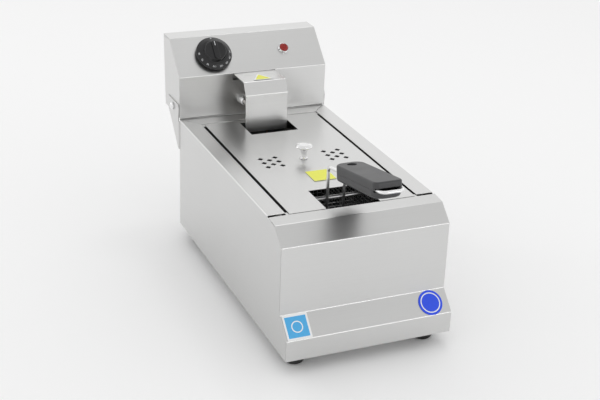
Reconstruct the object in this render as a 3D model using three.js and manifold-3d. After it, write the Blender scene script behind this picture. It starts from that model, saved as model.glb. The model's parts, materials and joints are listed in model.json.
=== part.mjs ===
// A single-tank countertop electric deep fryer in folded stainless sheet, in millimetres, +Z up.
// The front of the fryer faces -Y and +X is to the right of a person standing in front of it.
// The origin lies on the worktop, at the middle of the whole fryer's footprint.
import * as THREE from 'three';
import { mergeVertices } from 'three/addons/utils/BufferGeometryUtils.js';
import Module from 'manifold-3d';

const wasm = await Module();
wasm.setup();

// ---- driving dimensions --------------------------------------------------------------------
const BODY_W = 270; // casing width, and the control head's
const BODY_D = 495; // casing depth, from the toe of the front panel to the rear panel
const DECK_Z = 217.5; // top face of the deck strips
const EDGE_Z = 22; // lower edge of the casing panels above the worktop
const SHEET = 1.2; // panel sheet
const GAP = 0.3; // air between touching pieces
const SEAM = 0.8; // shadow gap behind the front panel's and the head cover's edges
const BEND_R = 2.4; // outside radius of the folds

const HALF_W = BODY_W / 2;
const REAR_Y = BODY_D / 2;
const TOE_Y = -BODY_D / 2;

// front panel profile, from the deck down to the toe
const DECK_FRONT_Y = -167.5;
const ROLL = [-191.5, 214.8];
const BROW = [-218, 191];
const KNEE = [-219.2, 83.2];
const TOE_TOP_Z = 55.5;

// deck opening and the ledges that the lid rests on
const STRIP_W = 28;
const SLOT = 6.5; // open slot between each side strip and the front panel
const REAR_STRIP_D = 30;
const OPEN_HALF_W = HALF_W - STRIP_W;
const OPEN_REAR_Y = REAR_Y - REAR_STRIP_D;
const LEDGE_D = 10.5;
const LEDGE_X = 50; // the front ledge stops short of the lid's notch
const LEDGE_Z = DECK_Z - SHEET - GAP;

// feet
const FOOT_R = 17.3;
const FOOT_X = 107;
const FOOT_Y = 211.5;
const FLOOR_Z = 26; // underside of the bottom plate, set up inside the panels
const FOOT_RECESS_R = 6.2;
const FOOT_BORE_R = 3;

// oil tank
const TANK_HALF_W = 109;
const TANK_FRONT_Y = -163;
const TANK_REAR_Y = 214;
const TANK_BOTTOM_Z = 48;
const TANK_FLANGE_W = 14;
const TANK_CORNER_R = 12;
const TANK_TOP_Z = LEDGE_Z - SHEET - GAP - 4;

// control head and the hinge it tilts back on
const HEAD_BOTTOM_Z = 220;
const HEAD_FRONT_Y = 248;
const HEAD_BEND_Z = 292.5;
const HEAD_TOP_Z = 345.2;
const HEAD_TOP_FRONT_Y = 304.4;
const HEAD_TOP_REAR_Y = 337;
const HEAD_FOOT_REAR_Y = 328;
const LIP_BACK = 1.9; // from the head's front sheet to the lip under its floor
const LIP_DROP = 5.5;
const PIVOT_Y = 278;
const PIVOT_Z = 233;
const PIVOT_SHANK_R = 3.8;
const PIVOT_HOLE_R = 4.2;
const BRACKET_T = 2;
const BRACKET_FLANGE = 30;
const BRACKET_FOOT_Z = 163;
const BRACKET_SCREW_IN = 15; // from the bracket's inner face to its screws
const BRACKET_SCREWS = { lower: 176, upper: 201 }; // heights of the screws
const BRACKET_SCREW_R = 2.3;
const DOME_R = 6.5;

// element hood: one bent strip out of a slot in the head's front
const HOOD_HALF_W = 38;
const HOOD_TOP_Z = 291.4;
const HOOD_NOSE_Y = 197.4;
const HOOD_BEND = [186, 271];
const HOOD_TIP = [183.4, 206];
const HOOD_T = 1.5;

// heating element
const TUBE_R = 4.2;
const ELEMENT_EXIT_X = 20.5;
const ELEMENT_EXIT_Z = 243;
const ELEMENT_DROP_Y = 196;
const ELEMENT_OUTER_X = 66;
const ELEMENT_INNER_X = 22;
const ELEMENT_Z = 66;
const ELEMENT_FRONT_Y = -95;
const ELEMENT_BACK_Y = 165;
const SPREAD_Z = 208;
const BULB_X = 8;
const BULB_R = 3;
const BULB_Z = 84;

// guard grid over the element
const GRID_Z = ELEMENT_Z + TUBE_R + 2.6;
const GRID_FRONT_Y = -128;
const GRID_REAR_Y = 176;
const GRID_WIRE = 3;
const GRID_WIRES = 3; // lengthwise wires on each side of the middle one
const GRID_PITCH = 28;
const GRID_HALF_W = GRID_WIRES * GRID_PITCH;

// lid
const LID_HALF_W = 102;
const LID_FRONT_Y = -165.5;
const LID_REAR_Y = 211;
const LID_LIP = 6;
const CUTOUT_HALF_W = 42;
const CUTOUT_FRONT_Y = 144.5;
const NOTCH_HALF_W = 44;
const NOTCH_REAR_Y = -98.5;
const VENT_X = 55;
const VENT_Y = 22.5;
const VENT_HALF = 5.1; // half the diagonal of a square hole set on its corner
const VENT_STEP_X = 12.3;
const VENT_STEP_Y = 17.2;
const KNOB_Y = 22;

// frying basket and its handle
const BASKET_HALF_W = 84;
const BASKET_FRONT_Y = -94;
const BASKET_REAR_Y = 126;
const BASKET_TOP_Z = 203;
const BASKET_BOTTOM_Z = 84;
const BASKET_DRAFT = 17; // how far the front wall leans in towards the bottom
const BASKET_WALL = 1.6;
const BASKET_CORNER_R = 13;
const RIM_R = 2.6;
const RIM_OUT = RIM_R + 2 * GAP; // from the basket's wall to the rim wire's centre
const ROD_R = 2.5;
const ROD_X = 13.8;
const ROD_Y = BASKET_FRONT_Y - RIM_OUT - RIM_R - ROD_R - GAP;
const ROD_TOP_Z = 254.5;
const GRIP_W = 45;
const GRIP_T = 24.4;
const GRIP_TILT = THREE.MathUtils.degToRad(10.5);
const GRIP_REAR = [-138, 261.6]; // y and z of the grip's axis at its rear end
const GRIP_LENGTH = 139;
const LOOP_REACH = 13; // how far the wire loop stands out of the grip's front end
const LOOP_HALF_W = 17.4;
const SCREW_BACK = 17; // the grip's screw, forward of its rear end

// controls on the head's sloped face, measured from the middle of the slope
const DIAL_X = -65.7;
const DIAL_UP = -1.5;
const DIAL_R = 31.5;
const LAMP_X = 65;
const LAMP_R = 7.6;
const BEZEL_R = 10.2;

// rear of the head
const RESET_X = -70;
const RESET_Z = 246;
const GLAND_X = 70;
const GLAND_Z = 246;
const GLAND_REACH = 17;
const GLAND_BORE_R = 5;
const GLAND_OUT = 2.1; // the gland's middle, behind the foot of the head's back

// ---- finishes ------------------------------------------------------------------------------
const finish = (color, roughness, metalness) => ({ color, roughness, metalness });
const SATIN_STEEL = finish(0xc6c6c4, 0.38, 1);
const POLISHED_STEEL = finish(0xdedede, 0.15, 1);
const ELEMENT_STEEL = finish(0x9a9a9a, 0.3, 1);
const GLOSS_BLACK = finish(0x141416, 0.2, 0);
const GREY_GRIP = finish(0x4a4a4c, 0.6, 0);
const RUBBER = finish(0x1b1b1b, 0.85, 0);
const RED_LENS = finish(0xb01408, 0.15, 0);
const WHITE_CERAMIC = finish(0xe8e6de, 0.5, 0);
const COPPER_TUBE = finish(0xb87333, 0.35, 1);
const YELLOW_LABEL = finish(0xeff05a, 0.5, 0);
const BLUE_LABEL = finish(0x2a5cf0, 0.4, 0);
const SKY_LABEL = finish(0x4fb4e8, 0.4, 0);

// ---- solids --------------------------------------------------------------------------------
function toSolid(geometry) {
  const bare = geometry.clone();
  bare.deleteAttribute('normal');
  bare.deleteAttribute('uv');
  const merged = mergeVertices(bare, 1e-4);
  return new wasm.Manifold(new wasm.Mesh({
    numProp: 3,
    vertProperties: new Float32Array(merged.attributes.position.array),
    triVerts: new Uint32Array(merged.index.array),
  }));
}

function fromSolid(solid) {
  const mesh = solid.getMesh();
  const geometry = new THREE.BufferGeometry();
  geometry.setAttribute('position', new THREE.BufferAttribute(new Float32Array(mesh.vertProperties), 3));
  geometry.setIndex(new THREE.BufferAttribute(new Uint32Array(mesh.triVerts), 1));
  geometry.computeVertexNormals();
  return geometry;
}

const join = (...pieces) => fromSolid(pieces.map(toSolid).reduce((whole, piece) => whole.add(piece)));
const cut = (base, ...tools) => fromSolid(
  tools.map(toSolid).reduce((whole, tool) => whole.subtract(tool), toSolid(base)),
);
const overlap = (a, b) => fromSolid(toSolid(a).intersect(toSolid(b)));

const outline = (points) => new THREE.Shape(points.map(([x, y]) => new THREE.Vector2(x, y)));
const box = (x0, x1, y0, y1, z0, z1) => new THREE.BoxGeometry(x1 - x0, y1 - y0, z1 - z0)
  .translate((x0 + x1) / 2, (y0 + y1) / 2, (z0 + z1) / 2);
const plate = (shape, z0, z1, curveSegments = 8) => new THREE.ExtrudeGeometry(
  shape, { depth: z1 - z0, bevelEnabled: false, curveSegments },
).translate(0, 0, z0);

// a shape drawn in (y, z), extruded along X from x0 to x1
const ALONG_X = new THREE.Matrix4().makeBasis(
  new THREE.Vector3(0, 1, 0), new THREE.Vector3(0, 0, 1), new THREE.Vector3(1, 0, 0),
);
const slab = (points, x0, x1) => plate(outline(points), x0, x1).applyMatrix4(ALONG_X);

const cylinder = (radius, z0, z1, sides = 24) => new THREE.CylinderGeometry(radius, radius, z1 - z0, sides)
  .rotateX(Math.PI / 2).translate(0, 0, (z0 + z1) / 2);
const cylinderX = (radius, x0, x1, y, z, sides = 24) => cylinder(radius, x0, x1, sides)
  .rotateY(Math.PI / 2).translate(0, y, z);
const cylinderY = (radius, y0, y1, x, z, sides = 24) => cylinder(radius, -y1, -y0, sides)
  .rotateX(Math.PI / 2).translate(x, 0, z);
const turned = (points, sides = 32) => new THREE.LatheGeometry(
  points.map(([r, z]) => new THREE.Vector2(r, z)), sides,
).rotateX(Math.PI / 2);

// each inner corner of a polyline becomes an arc of the given radius
function rounded(points, radius, steps = 4) {
  const line = points.map((p) => new THREE.Vector3(...p, ...(p.length < 3 ? [0] : [])));
  const out = [line[0]];
  for (let i = 1; i < line.length - 1; i += 1) {
    const back = line[i - 1].clone().sub(line[i]).normalize();
    const on = line[i + 1].clone().sub(line[i]).normalize();
    const half = Math.acos(THREE.MathUtils.clamp(back.dot(on), -1, 1)) / 2;
    const reach = radius / Math.tan(half);
    const centre = back.clone().add(on).normalize().multiplyScalar(radius / Math.sin(half)).add(line[i]);
    const from = back.clone().multiplyScalar(reach).add(line[i]).sub(centre);
    const to = on.clone().multiplyScalar(reach).add(line[i]).sub(centre);
    const sweep = Math.PI - 2 * half;
    for (let s = 0; s <= steps; s += 1) {
      const a = Math.sin(sweep * (1 - s / steps)) / Math.sin(sweep);
      const b = Math.sin(sweep * (s / steps)) / Math.sin(sweep);
      out.push(centre.clone().addScaledVector(from, a).addScaledVector(to, b));
    }
  }
  out.push(line[line.length - 1]);
  return out.map((p) => (points[0].length < 3 ? [p.x, p.y] : [p.x, p.y, p.z]));
}

// the polyline moved sideways by a distance, to the left of its direction of travel
function offset(points, distance) {
  return points.map((p, i) => {
    const before = i > 0 ? new THREE.Vector2(p[0] - points[i - 1][0], p[1] - points[i - 1][1]) : null;
    const after = i < points.length - 1
      ? new THREE.Vector2(points[i + 1][0] - p[0], points[i + 1][1] - p[1]) : null;
    const a = (before ?? after).clone().normalize();
    const b = (after ?? before).clone().normalize();
    const normal = new THREE.Vector2(-a.y - b.y, a.x + b.x).normalize();
    const stretch = distance / (normal.x * -a.y + normal.y * a.x);
    return [p[0] + normal.x * stretch, p[1] + normal.y * stretch];
  });
}

// a folded strip of sheet: its profile in (y, z), thickened to the left, along X
function folded(points, thickness, x0, x1, bend = BEND_R) {
  const outer = rounded(points, bend);
  return slab([...outer, ...offset(outer, thickness).reverse()], x0, x1);
}

// a rod or tube bent along a polyline whose corners are rounded
class BentPath extends THREE.Curve {
  constructor(points) {
    super();
    this.line = points.map((p) => new THREE.Vector3(...p));
  }

  getUtoTmapping(u) { return u; }

  getPoint(t, target = new THREE.Vector3()) {
    const at = t * (this.line.length - 1);
    const i = Math.min(Math.floor(at), this.line.length - 2);
    return target.lerpVectors(this.line[i], this.line[i + 1], at - i);
  }

  getTangent(t, target = new THREE.Vector3()) {
    const last = this.line.length - 1;
    const i = Math.round(t * last);
    const step = (a, b) => this.line[b].clone().sub(this.line[a]).normalize();
    if (i > 0) target.add(step(i - 1, i));
    if (i < last) target.add(step(i, i + 1));
    return target.normalize();
  }
}

function rod(points, radius, bend, sides = 8, steps = 5) {
  const path = new BentPath(bend ? rounded(points, bend, steps) : points);
  const section = new THREE.Shape();
  for (let i = 0; i < sides; i += 1) {
    const angle = (2 * Math.PI * (i + 0.5)) / sides;
    const corner = [radius * Math.cos(angle), radius * Math.sin(angle)];
    if (i) section.lineTo(...corner);
    else section.moveTo(...corner);
  }
  return new THREE.ExtrudeGeometry(section, {
    steps: path.line.length - 1, bevelEnabled: false, extrudePath: path,
  });
}

// a rectangle in plan with its corners rounded
function roundedRect(x0, x1, y0, y1, radius) {
  const shape = new THREE.Shape();
  shape.moveTo(x0 + radius, y0);
  shape.lineTo(x1 - radius, y0);
  shape.absarc(x1 - radius, y0 + radius, radius, -Math.PI / 2, 0);
  shape.lineTo(x1, y1 - radius);
  shape.absarc(x1 - radius, y1 - radius, radius, 0, Math.PI / 2);
  shape.lineTo(x0 + radius, y1);
  shape.absarc(x0 + radius, y1 - radius, radius, Math.PI / 2, Math.PI);
  shape.lineTo(x0, y0 + radius);
  shape.absarc(x0 + radius, y0 + radius, radius, Math.PI, 1.5 * Math.PI);
  return shape;
}

function mesh(name, geometry, material, position = [0, 0, 0]) {
  const piece = new THREE.Mesh(geometry, new THREE.MeshStandardMaterial({ ...material }));
  piece.name = name;
  piece.position.set(...position);
  return piece;
}

const mirrored = (side, geometry) => (side > 0 ? geometry : fromSolid(toSolid(geometry).mirror([1, 0, 0])));
const SIDES = [['left', -1], ['right', 1]];

// ---- casing --------------------------------------------------------------------------------
const frontProfile = [
  [DECK_FRONT_Y, DECK_Z], ROLL, BROW, KNEE, [TOE_Y, TOE_TOP_Z], [TOE_Y, EDGE_Z],
];

function frontPanel() {
  const ledge = [[DECK_FRONT_Y + LEDGE_D, LEDGE_Z], [DECK_FRONT_Y, LEDGE_Z]];
  const tabs = SIDES.map(([, s]) => slab(
    [...ledge, [DECK_FRONT_Y, LEDGE_Z - SHEET], [DECK_FRONT_Y + LEDGE_D, LEDGE_Z - SHEET]],
    Math.min(s * OPEN_HALF_W, s * LEDGE_X), Math.max(s * OPEN_HALF_W, s * LEDGE_X),
  ));
  const lip = box(-OPEN_HALF_W, OPEN_HALF_W, DECK_FRONT_Y - SHEET, DECK_FRONT_Y,
    LEDGE_Z - SHEET, DECK_Z - 0.5);
  return mesh('front_panel', join(folded(frontProfile, SHEET, -HALF_W, HALF_W), lip, ...tabs), SATIN_STEEL);
}

function sidePanel(name, side) {
  const edge = offset(rounded(frontProfile, BEND_R), SHEET + SEAM);
  const stripFront = DECK_FRONT_Y + SLOT;
  const wall = slab([
    ...edge, [REAR_Y, EDGE_Z], [REAR_Y, DECK_Z], [stripFront, DECK_Z], [stripFront, edge[0][1]],
  ], HALF_W - SHEET, HALF_W);
  const strip = plate(outline([
    [OPEN_HALF_W, stripFront], [HALF_W, stripFront], [HALF_W, REAR_Y],
    [HALF_W - SHEET, REAR_Y], [HALF_W - SHEET, REAR_Y - SHEET - GAP], [OPEN_HALF_W, OPEN_REAR_Y - GAP],
  ]), DECK_Z - SHEET, DECK_Z);
  return mesh(name, mirrored(side, join(wall, strip)), SATIN_STEEL);
}

function rearPanel() {
  const inside = HALF_W - SHEET - GAP;
  const wall = box(-inside, inside, REAR_Y - SHEET, REAR_Y, EDGE_Z, DECK_Z);
  const strip = plate(outline([
    [-OPEN_HALF_W, OPEN_REAR_Y], [OPEN_HALF_W, OPEN_REAR_Y], [inside, REAR_Y], [-inside, REAR_Y],
  ]), DECK_Z - SHEET, DECK_Z);
  const drop = box(-OPEN_HALF_W, OPEN_HALF_W, OPEN_REAR_Y, OPEN_REAR_Y + SHEET, LEDGE_Z - SHEET, DECK_Z);
  const ledge = box(-OPEN_HALF_W, OPEN_HALF_W, OPEN_REAR_Y - LEDGE_D, OPEN_REAR_Y + SHEET,
    LEDGE_Z - SHEET, LEDGE_Z);
  return mesh('rear_panel', join(wall, strip, drop, ledge), SATIN_STEEL);
}

const footPlaces = [
  ['front_left', -FOOT_X, -FOOT_Y], ['front_right', FOOT_X, -FOOT_Y],
  ['rear_left', -FOOT_X, FOOT_Y], ['rear_right', FOOT_X, FOOT_Y],
];

function bottomPlate() {
  const inside = HALF_W - SHEET - GAP;
  const sheet = box(-inside, inside, TOE_Y + SHEET + GAP, REAR_Y - SHEET - GAP, FLOOR_Z, FLOOR_Z + SHEET);
  const holes = footPlaces.map(([, x, y]) => cylinder(FOOT_BORE_R, 0, FLOOR_Z + 5, 16).translate(x, y, 0));
  return mesh('bottom_plate', cut(sheet, ...holes), SATIN_STEEL);
}

function foot(name, x, y) {
  const top = FLOOR_Z - GAP;
  const body = turned([
    [FOOT_BORE_R, 10], [FOOT_RECESS_R, 10], [FOOT_RECESS_R, 0], [FOOT_R - 5.5, 0], [FOOT_R - 2.4, 2],
    [FOOT_R, 9], [FOOT_R, top], [FOOT_BORE_R, top], [FOOT_BORE_R, 10],
  ], 16);
  return mesh(`${name}_foot`, body, RUBBER, [x, y, 0]);
}

function footScrew(name, x, y) {
  const screw = turned([[0, 6.4], [4.9, 7], [4.9, 9.7], [2.5, 9.7], [2.5, 36], [0, 36]], 12);
  return mesh(`${name}_foot_screw`, screw, POLISHED_STEEL, [x, y, 0]);
}

function oilTank() {
  const well = box(-TANK_HALF_W - SHEET, TANK_HALF_W + SHEET, TANK_FRONT_Y - SHEET, TANK_REAR_Y + SHEET,
    TANK_BOTTOM_Z - SHEET, TANK_TOP_Z);
  const flange = box(-TANK_HALF_W - TANK_FLANGE_W, TANK_HALF_W + TANK_FLANGE_W, TANK_FRONT_Y - SHEET,
    TANK_REAR_Y + TANK_FLANGE_W, TANK_TOP_Z - SHEET, TANK_TOP_Z);
  const hollow = plate(roundedRect(-TANK_HALF_W, TANK_HALF_W, TANK_FRONT_Y, TANK_REAR_Y, TANK_CORNER_R),
    TANK_BOTTOM_Z, DECK_Z, 4);
  return mesh('oil_tank', cut(join(well, flange), hollow), SATIN_STEEL);
}

function hingeBracket(name, side) {
  const x0 = HALF_W + GAP;
  const blade = slab([
    [REAR_Y + GAP, BRACKET_FOOT_Z], [REAR_Y + GAP, 236], [252, 243.3], [308, 243.3], [309.6, 241],
    [303, 220.9], [289.7, 208.2],
  ], x0, x0 + BRACKET_T);
  const flange = box(x0 - BRACKET_FLANGE, x0 + BRACKET_T, REAR_Y + GAP, REAR_Y + GAP + BRACKET_T,
    BRACKET_FOOT_Z, 214);
  const holes = [
    cylinderX(PIVOT_HOLE_R, x0 - 5, x0 + 5, PIVOT_Y, PIVOT_Z),
    ...Object.values(BRACKET_SCREWS).map((z) => cylinderY(
      BRACKET_SCREW_R + GAP, REAR_Y - 1, REAR_Y + 5, x0 - BRACKET_SCREW_IN, z, 16,
    )),
  ];
  return mesh(name, mirrored(side, cut(join(blade, flange), ...holes)), SATIN_STEEL);
}

const dome = (radius, height) => {
  const steps = 4;
  const arc = Array.from({ length: steps }, (_, i) => {
    const angle = ((i + 1) / steps) * (Math.PI / 2);
    return [radius * Math.sin(angle), height * Math.cos(angle)];
  });
  return [[0, height], ...arc];
};

function bracketScrew(name, side, z) {
  const profile = [...dome(4.2, 2.4).map(([r, h]) => [r, -h]), [BRACKET_SCREW_R, 0],
    [BRACKET_SCREW_R, 1.6], [0, 1.6]];
  const head = turned(profile, 16).rotateX(Math.PI / 2);
  return mesh(name, head, POLISHED_STEEL,
    [side * (HALF_W + GAP - BRACKET_SCREW_IN), REAR_Y + GAP + BRACKET_T + GAP, z]);
}

function pivotScrew(name, side) {
  const outer = GAP + BRACKET_T + GAP;
  const profile = [
    [0, -8], [PIVOT_SHANK_R, -8], [PIVOT_SHANK_R, outer], [DOME_R, outer],
    ...dome(DOME_R, 4.4).reverse().slice(1).map(([r, h]) => [r, outer + h]),
  ];
  const screw = turned(profile, 16).rotateY(Math.PI / 2);
  return mesh(name, mirrored(side, screw), POLISHED_STEEL, [side * HALF_W, PIVOT_Y, PIVOT_Z]);
}

function pivotNut(name, side) {
  const nut = cut(cylinder(7, -6.6, -2.6, 6), cylinder(PIVOT_SHANK_R + GAP, -8, 0, 12)).rotateY(Math.PI / 2);
  return mesh(name, mirrored(side, nut), POLISHED_STEEL, [side * HALF_W, PIVOT_Y, PIVOT_Z]);
}

// ---- control head --------------------------------------------------------------------------
const slopeVector = new THREE.Vector2(HEAD_TOP_FRONT_Y - HEAD_FRONT_Y, HEAD_TOP_Z - HEAD_BEND_Z);
const SLOPE_ANGLE = slopeVector.angle();
const consolePlace = (up = 0, out = 0) => [
  (HEAD_FRONT_Y + HEAD_TOP_FRONT_Y) / 2 + up * Math.cos(SLOPE_ANGLE) - out * Math.sin(SLOPE_ANGLE),
  (HEAD_BEND_Z + HEAD_TOP_Z) / 2 + up * Math.sin(SLOPE_ANGLE) + out * Math.cos(SLOPE_ANGLE),
];
// a piece drawn about its own +Z, turned to stand out of the slope
const onConsole = (geometry, x, up) => geometry.clone().rotateX(SLOPE_ANGLE)
  .translate(x, ...consolePlace(up));

const headProfile = [
  [HEAD_FRONT_Y, HEAD_BOTTOM_Z], [HEAD_FRONT_Y, HEAD_BEND_Z], [HEAD_TOP_FRONT_Y, HEAD_TOP_Z],
  [HEAD_TOP_REAR_Y, HEAD_TOP_Z],
];

function headCover() {
  const skin = folded([...headProfile].reverse(), SHEET, -HALF_W, HALF_W);
  const slot = box(-HOOD_HALF_W - 1.5, HOOD_HALF_W + 1.5, HEAD_FRONT_Y - 5, HEAD_FRONT_Y + 5, 279, 291.8);
  const holes = [
    onConsole(cylinder(4.4, -6, 6), DIAL_X, DIAL_UP),
    onConsole(cylinder(6.4, -6, 6), LAMP_X, 0),
    cylinderY(2.2, HEAD_FRONT_Y - 4, HEAD_FRONT_Y + 4, BULB_X, ELEMENT_EXIT_Z, 12),
    ...SIDES.map(([, s]) => cylinderY(
      5.4, HEAD_FRONT_Y - 4, HEAD_FRONT_Y + 4, s * ELEMENT_EXIT_X, ELEMENT_EXIT_Z,
    )),
  ];
  return mesh('head_cover', cut(skin, slot, ...holes), SATIN_STEEL);
}

function headSide(name, side) {
  const front = offset(rounded([...headProfile].reverse(), BEND_R), SHEET + SEAM);
  const cheek = slab([
    ...front, [HEAD_FOOT_REAR_Y, HEAD_BOTTOM_Z], [HEAD_TOP_REAR_Y, HEAD_TOP_Z - SHEET - SEAM],
  ], HALF_W - SHEET, HALF_W);
  const hole = cylinderX(PIVOT_HOLE_R, HALF_W - 5, HALF_W + 5, PIVOT_Y, PIVOT_Z);
  return mesh(name, mirrored(side, cut(cheek, hole)), SATIN_STEEL);
}

function headBack() {
  const inset = SHEET + GAP;
  const wide = HALF_W - inset;
  const lipY = HEAD_FRONT_Y + inset + LIP_BACK;
  const profile = [
    [lipY, HEAD_BOTTOM_Z - LIP_DROP], [lipY, HEAD_BOTTOM_Z], [HEAD_FOOT_REAR_Y - 0.4, HEAD_BOTTOM_Z],
    [HEAD_TOP_REAR_Y - 0.4, HEAD_TOP_Z - inset],
  ];
  const hole = cylinderY(8.2, HEAD_FOOT_REAR_Y - 8, HEAD_FOOT_REAR_Y + 12, GLAND_X, GLAND_Z);
  const resetHole = cylinderY(6.2, HEAD_FOOT_REAR_Y - 8, HEAD_FOOT_REAR_Y + 14, RESET_X, RESET_Z);
  return mesh('head_back', cut(folded(profile, SHEET, -wide, wide), hole, resetHole), SATIN_STEEL);
}

function hood() {
  const shelf = [
    [HEAD_FRONT_Y + 9, HOOD_TOP_Z - 22], [HEAD_FRONT_Y + 9, HOOD_TOP_Z], [HOOD_NOSE_Y, HOOD_TOP_Z],
    HOOD_BEND, HOOD_TIP,
  ];
  return mesh('element_hood', folded(shelf, HOOD_T, -HOOD_HALF_W, HOOD_HALF_W, 3), SATIN_STEEL);
}

function elementPath() {
  const half = [
    [ELEMENT_EXIT_X, HEAD_FRONT_Y + 20, ELEMENT_EXIT_Z],
    [ELEMENT_EXIT_X, ELEMENT_DROP_Y, ELEMENT_EXIT_Z],
    [ELEMENT_EXIT_X, ELEMENT_DROP_Y, SPREAD_Z],
    [ELEMENT_OUTER_X, ELEMENT_DROP_Y, SPREAD_Z - 14],
    [ELEMENT_OUTER_X, ELEMENT_DROP_Y, ELEMENT_Z],
    [ELEMENT_OUTER_X, ELEMENT_FRONT_Y, ELEMENT_Z],
    [ELEMENT_INNER_X, ELEMENT_FRONT_Y, ELEMENT_Z],
    [ELEMENT_INNER_X, ELEMENT_BACK_Y, ELEMENT_Z],
  ];
  return [...half, ...half.map(([x, y, z]) => [-x, y, z]).reverse()];
}

const heatingElement = () => mesh('heating_element', rod(elementPath(), TUBE_R, 13, 6, 4), ELEMENT_STEEL);

function elementNut(name, side) {
  const bore = TUBE_R + GAP;
  const hexagon = cut(cylinder(8.4, GAP, 6, 6), cylinder(bore, -1, 8, 16));
  const dome = turned([
    [0, 5.6], [7.7, 5.6], [7.5, 8.2], [6.7, 10.6], [5.3, 12.3], [4.8, 12.6], [0, 12.6],
  ], 24);
  const cap = cut(dome, cylinder(bore, 4, 14, 16));
  return mesh(name, join(hexagon, cap).rotateX(Math.PI / 2), POLISHED_STEEL,
    [side * ELEMENT_EXIT_X, HEAD_FRONT_Y, ELEMENT_EXIT_Z]);
}

function guardGrid() {
  const wires = [];
  const half = GRID_WIRE / 2;
  for (let wire = -GRID_WIRES; wire <= GRID_WIRES; wire += 1) {
    const x = wire * GRID_PITCH;
    wires.push(box(x - half, x + half, GRID_FRONT_Y, GRID_REAR_Y, GRID_Z, GRID_Z + GRID_WIRE));
  }
  for (const y of [GRID_FRONT_Y, (GRID_FRONT_Y + GRID_REAR_Y - GRID_WIRE) / 2, GRID_REAR_Y - GRID_WIRE]) {
    wires.push(box(-GRID_HALF_W - half, GRID_HALF_W + half, y, y + GRID_WIRE, GRID_Z, GRID_Z + GRID_WIRE));
  }
  return mesh('guard_grid', join(...wires), POLISHED_STEEL);
}

function thermostat() {
  const block = join(box(-18, 18, -18, 18, -34, -SHEET - GAP), cylinder(3.6, -8, 5));
  const bored = cut(block, cylinder(3.3, -20, 20, 12));
  return mesh('thermostat_body', onConsole(bored, DIAL_X, DIAL_UP), WHITE_CERAMIC);
}

function spindle() {
  const bar = onConsole(cylinder(3, -18, 16, 16), DIAL_X, DIAL_UP);
  return mesh('thermostat_spindle', bar, POLISHED_STEEL);
}

function controlDial() {
  const skirt = turned([
    [0, 5.6], [DIAL_R, 5.6], [DIAL_R, 7.6], [23.5, 12.6], [19.5, 13.2], [18.2, 20], [0, 20],
  ], 32);
  const ridge = plate(roundedRect(-4.6, 4.6, -17.6, 17.6, 4), 12, 23, 3);
  const socket = cylinder(3.3, 0, 16.6, 16);
  return mesh('control_dial', onConsole(cut(join(skirt, ridge), socket), DIAL_X, DIAL_UP), GLOSS_BLACK);
}

function lampBezel() {
  const ring = turned([
    [6.1, GAP], [BEZEL_R, GAP], [BEZEL_R, 2], [8.4, 4.6], [7.9, 4.6], [7.9, 2.2], [6.1, 2.2], [6.1, GAP],
  ], 20);
  return mesh('lamp_bezel', onConsole(ring, LAMP_X, 0), POLISHED_STEEL);
}

function lampLens() {
  const lens = turned([[0, 0.4], [5.7, 0.4], [5.7, 2.5], [LAMP_R, 2.5],
    ...dome(LAMP_R, 3.4).reverse().slice(1).map(([r, h]) => [r, 4.4 + h])], 16);
  return mesh('lamp_lens', onConsole(lens, LAMP_X, 0), RED_LENS);
}

function lampBody() {
  const blades = [-2.4, 1.6].map((x) => box(x, x + 0.8, -3, 3, -38, -29));
  const body = join(cylinder(5.9, -30, 0.1, 20), ...blades);
  return mesh('lamp_body', onConsole(body, LAMP_X, 0), WHITE_CERAMIC);
}

function limitThermostat() {
  const can = cut(cylinderY(13, 296, 326, RESET_X, RESET_Z), cylinderY(5.4, 310, 330, RESET_X, RESET_Z));
  const seat = overlap(can, slab([[290, 220], [325.6, 220], [329.5, 262], [290, 262]], -HALF_W, HALF_W));
  return mesh('limit_thermostat', seat, WHITE_CERAMIC);
}

function resetButton() {
  const pin = turned([[0, 0], [4.6, 0], [4.6, 14], [3.8, 15], [0, 15]], 20).rotateX(-Math.PI / 2);
  return mesh('reset_button', pin, RED_LENS, [RESET_X, 317, RESET_Z]);
}

function capillary() {
  const y = ELEMENT_DROP_Y + 5;
  const line = [
    [BULB_X, HEAD_FRONT_Y + 18, ELEMENT_EXIT_Z], [BULB_X, y, ELEMENT_EXIT_Z], [BULB_X, y, BULB_Z + 40],
  ];
  const bulb = cylinder(BULB_R, BULB_Z, BULB_Z + 62, 12).translate(BULB_X, y, 0);
  return mesh('sensing_bulb', join(rod(line, 1.3, 8, 6, 4), bulb), COPPER_TUBE);
}

function terminalBlock() {
  const base = box(20, 68, 268, 292, HEAD_BOTTOM_Z + SHEET + GAP, 238);
  const wells = [28, 40, 52, 60].map((x) => cylinder(2.4, 230, 245, 12).translate(x + 2, 280, 0));
  return mesh('terminal_block', cut(base, ...wells), WHITE_CERAMIC);
}

function cableGland() {
  const lean = new THREE.Vector2(HEAD_TOP_REAR_Y - HEAD_FOOT_REAR_Y, HEAD_TOP_Z - HEAD_BOTTOM_Z).angle();
  const body = turned([
    [GLAND_BORE_R, -10], [7.6, -10], [7.6, 1], [11, 1], [11, 8], [9, 9], [8, GLAND_REACH],
    [GLAND_BORE_R, GLAND_REACH], [GLAND_BORE_R, -10],
  ], 24).rotateX(-lean);
  return mesh('cable_gland', body, RUBBER, [GLAND_X, HEAD_FOOT_REAR_Y + GLAND_OUT, GLAND_Z]);
}

// ---- lid -----------------------------------------------------------------------------------
function ventHoles(side) {
  const holes = [];
  for (let column = -1; column <= 1; column += 1) {
    const rows = column === 0 ? [-0.5, 0.5] : [-1, 0, 1];
    for (const row of rows) {
      const x = side * VENT_X + column * VENT_STEP_X;
      const y = VENT_Y + row * VENT_STEP_Y;
      holes.push(cylinder(VENT_HALF, LEDGE_Z - 5, DECK_Z + 5, 4).translate(x, y, 0));
    }
  }
  return holes;
}

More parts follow.
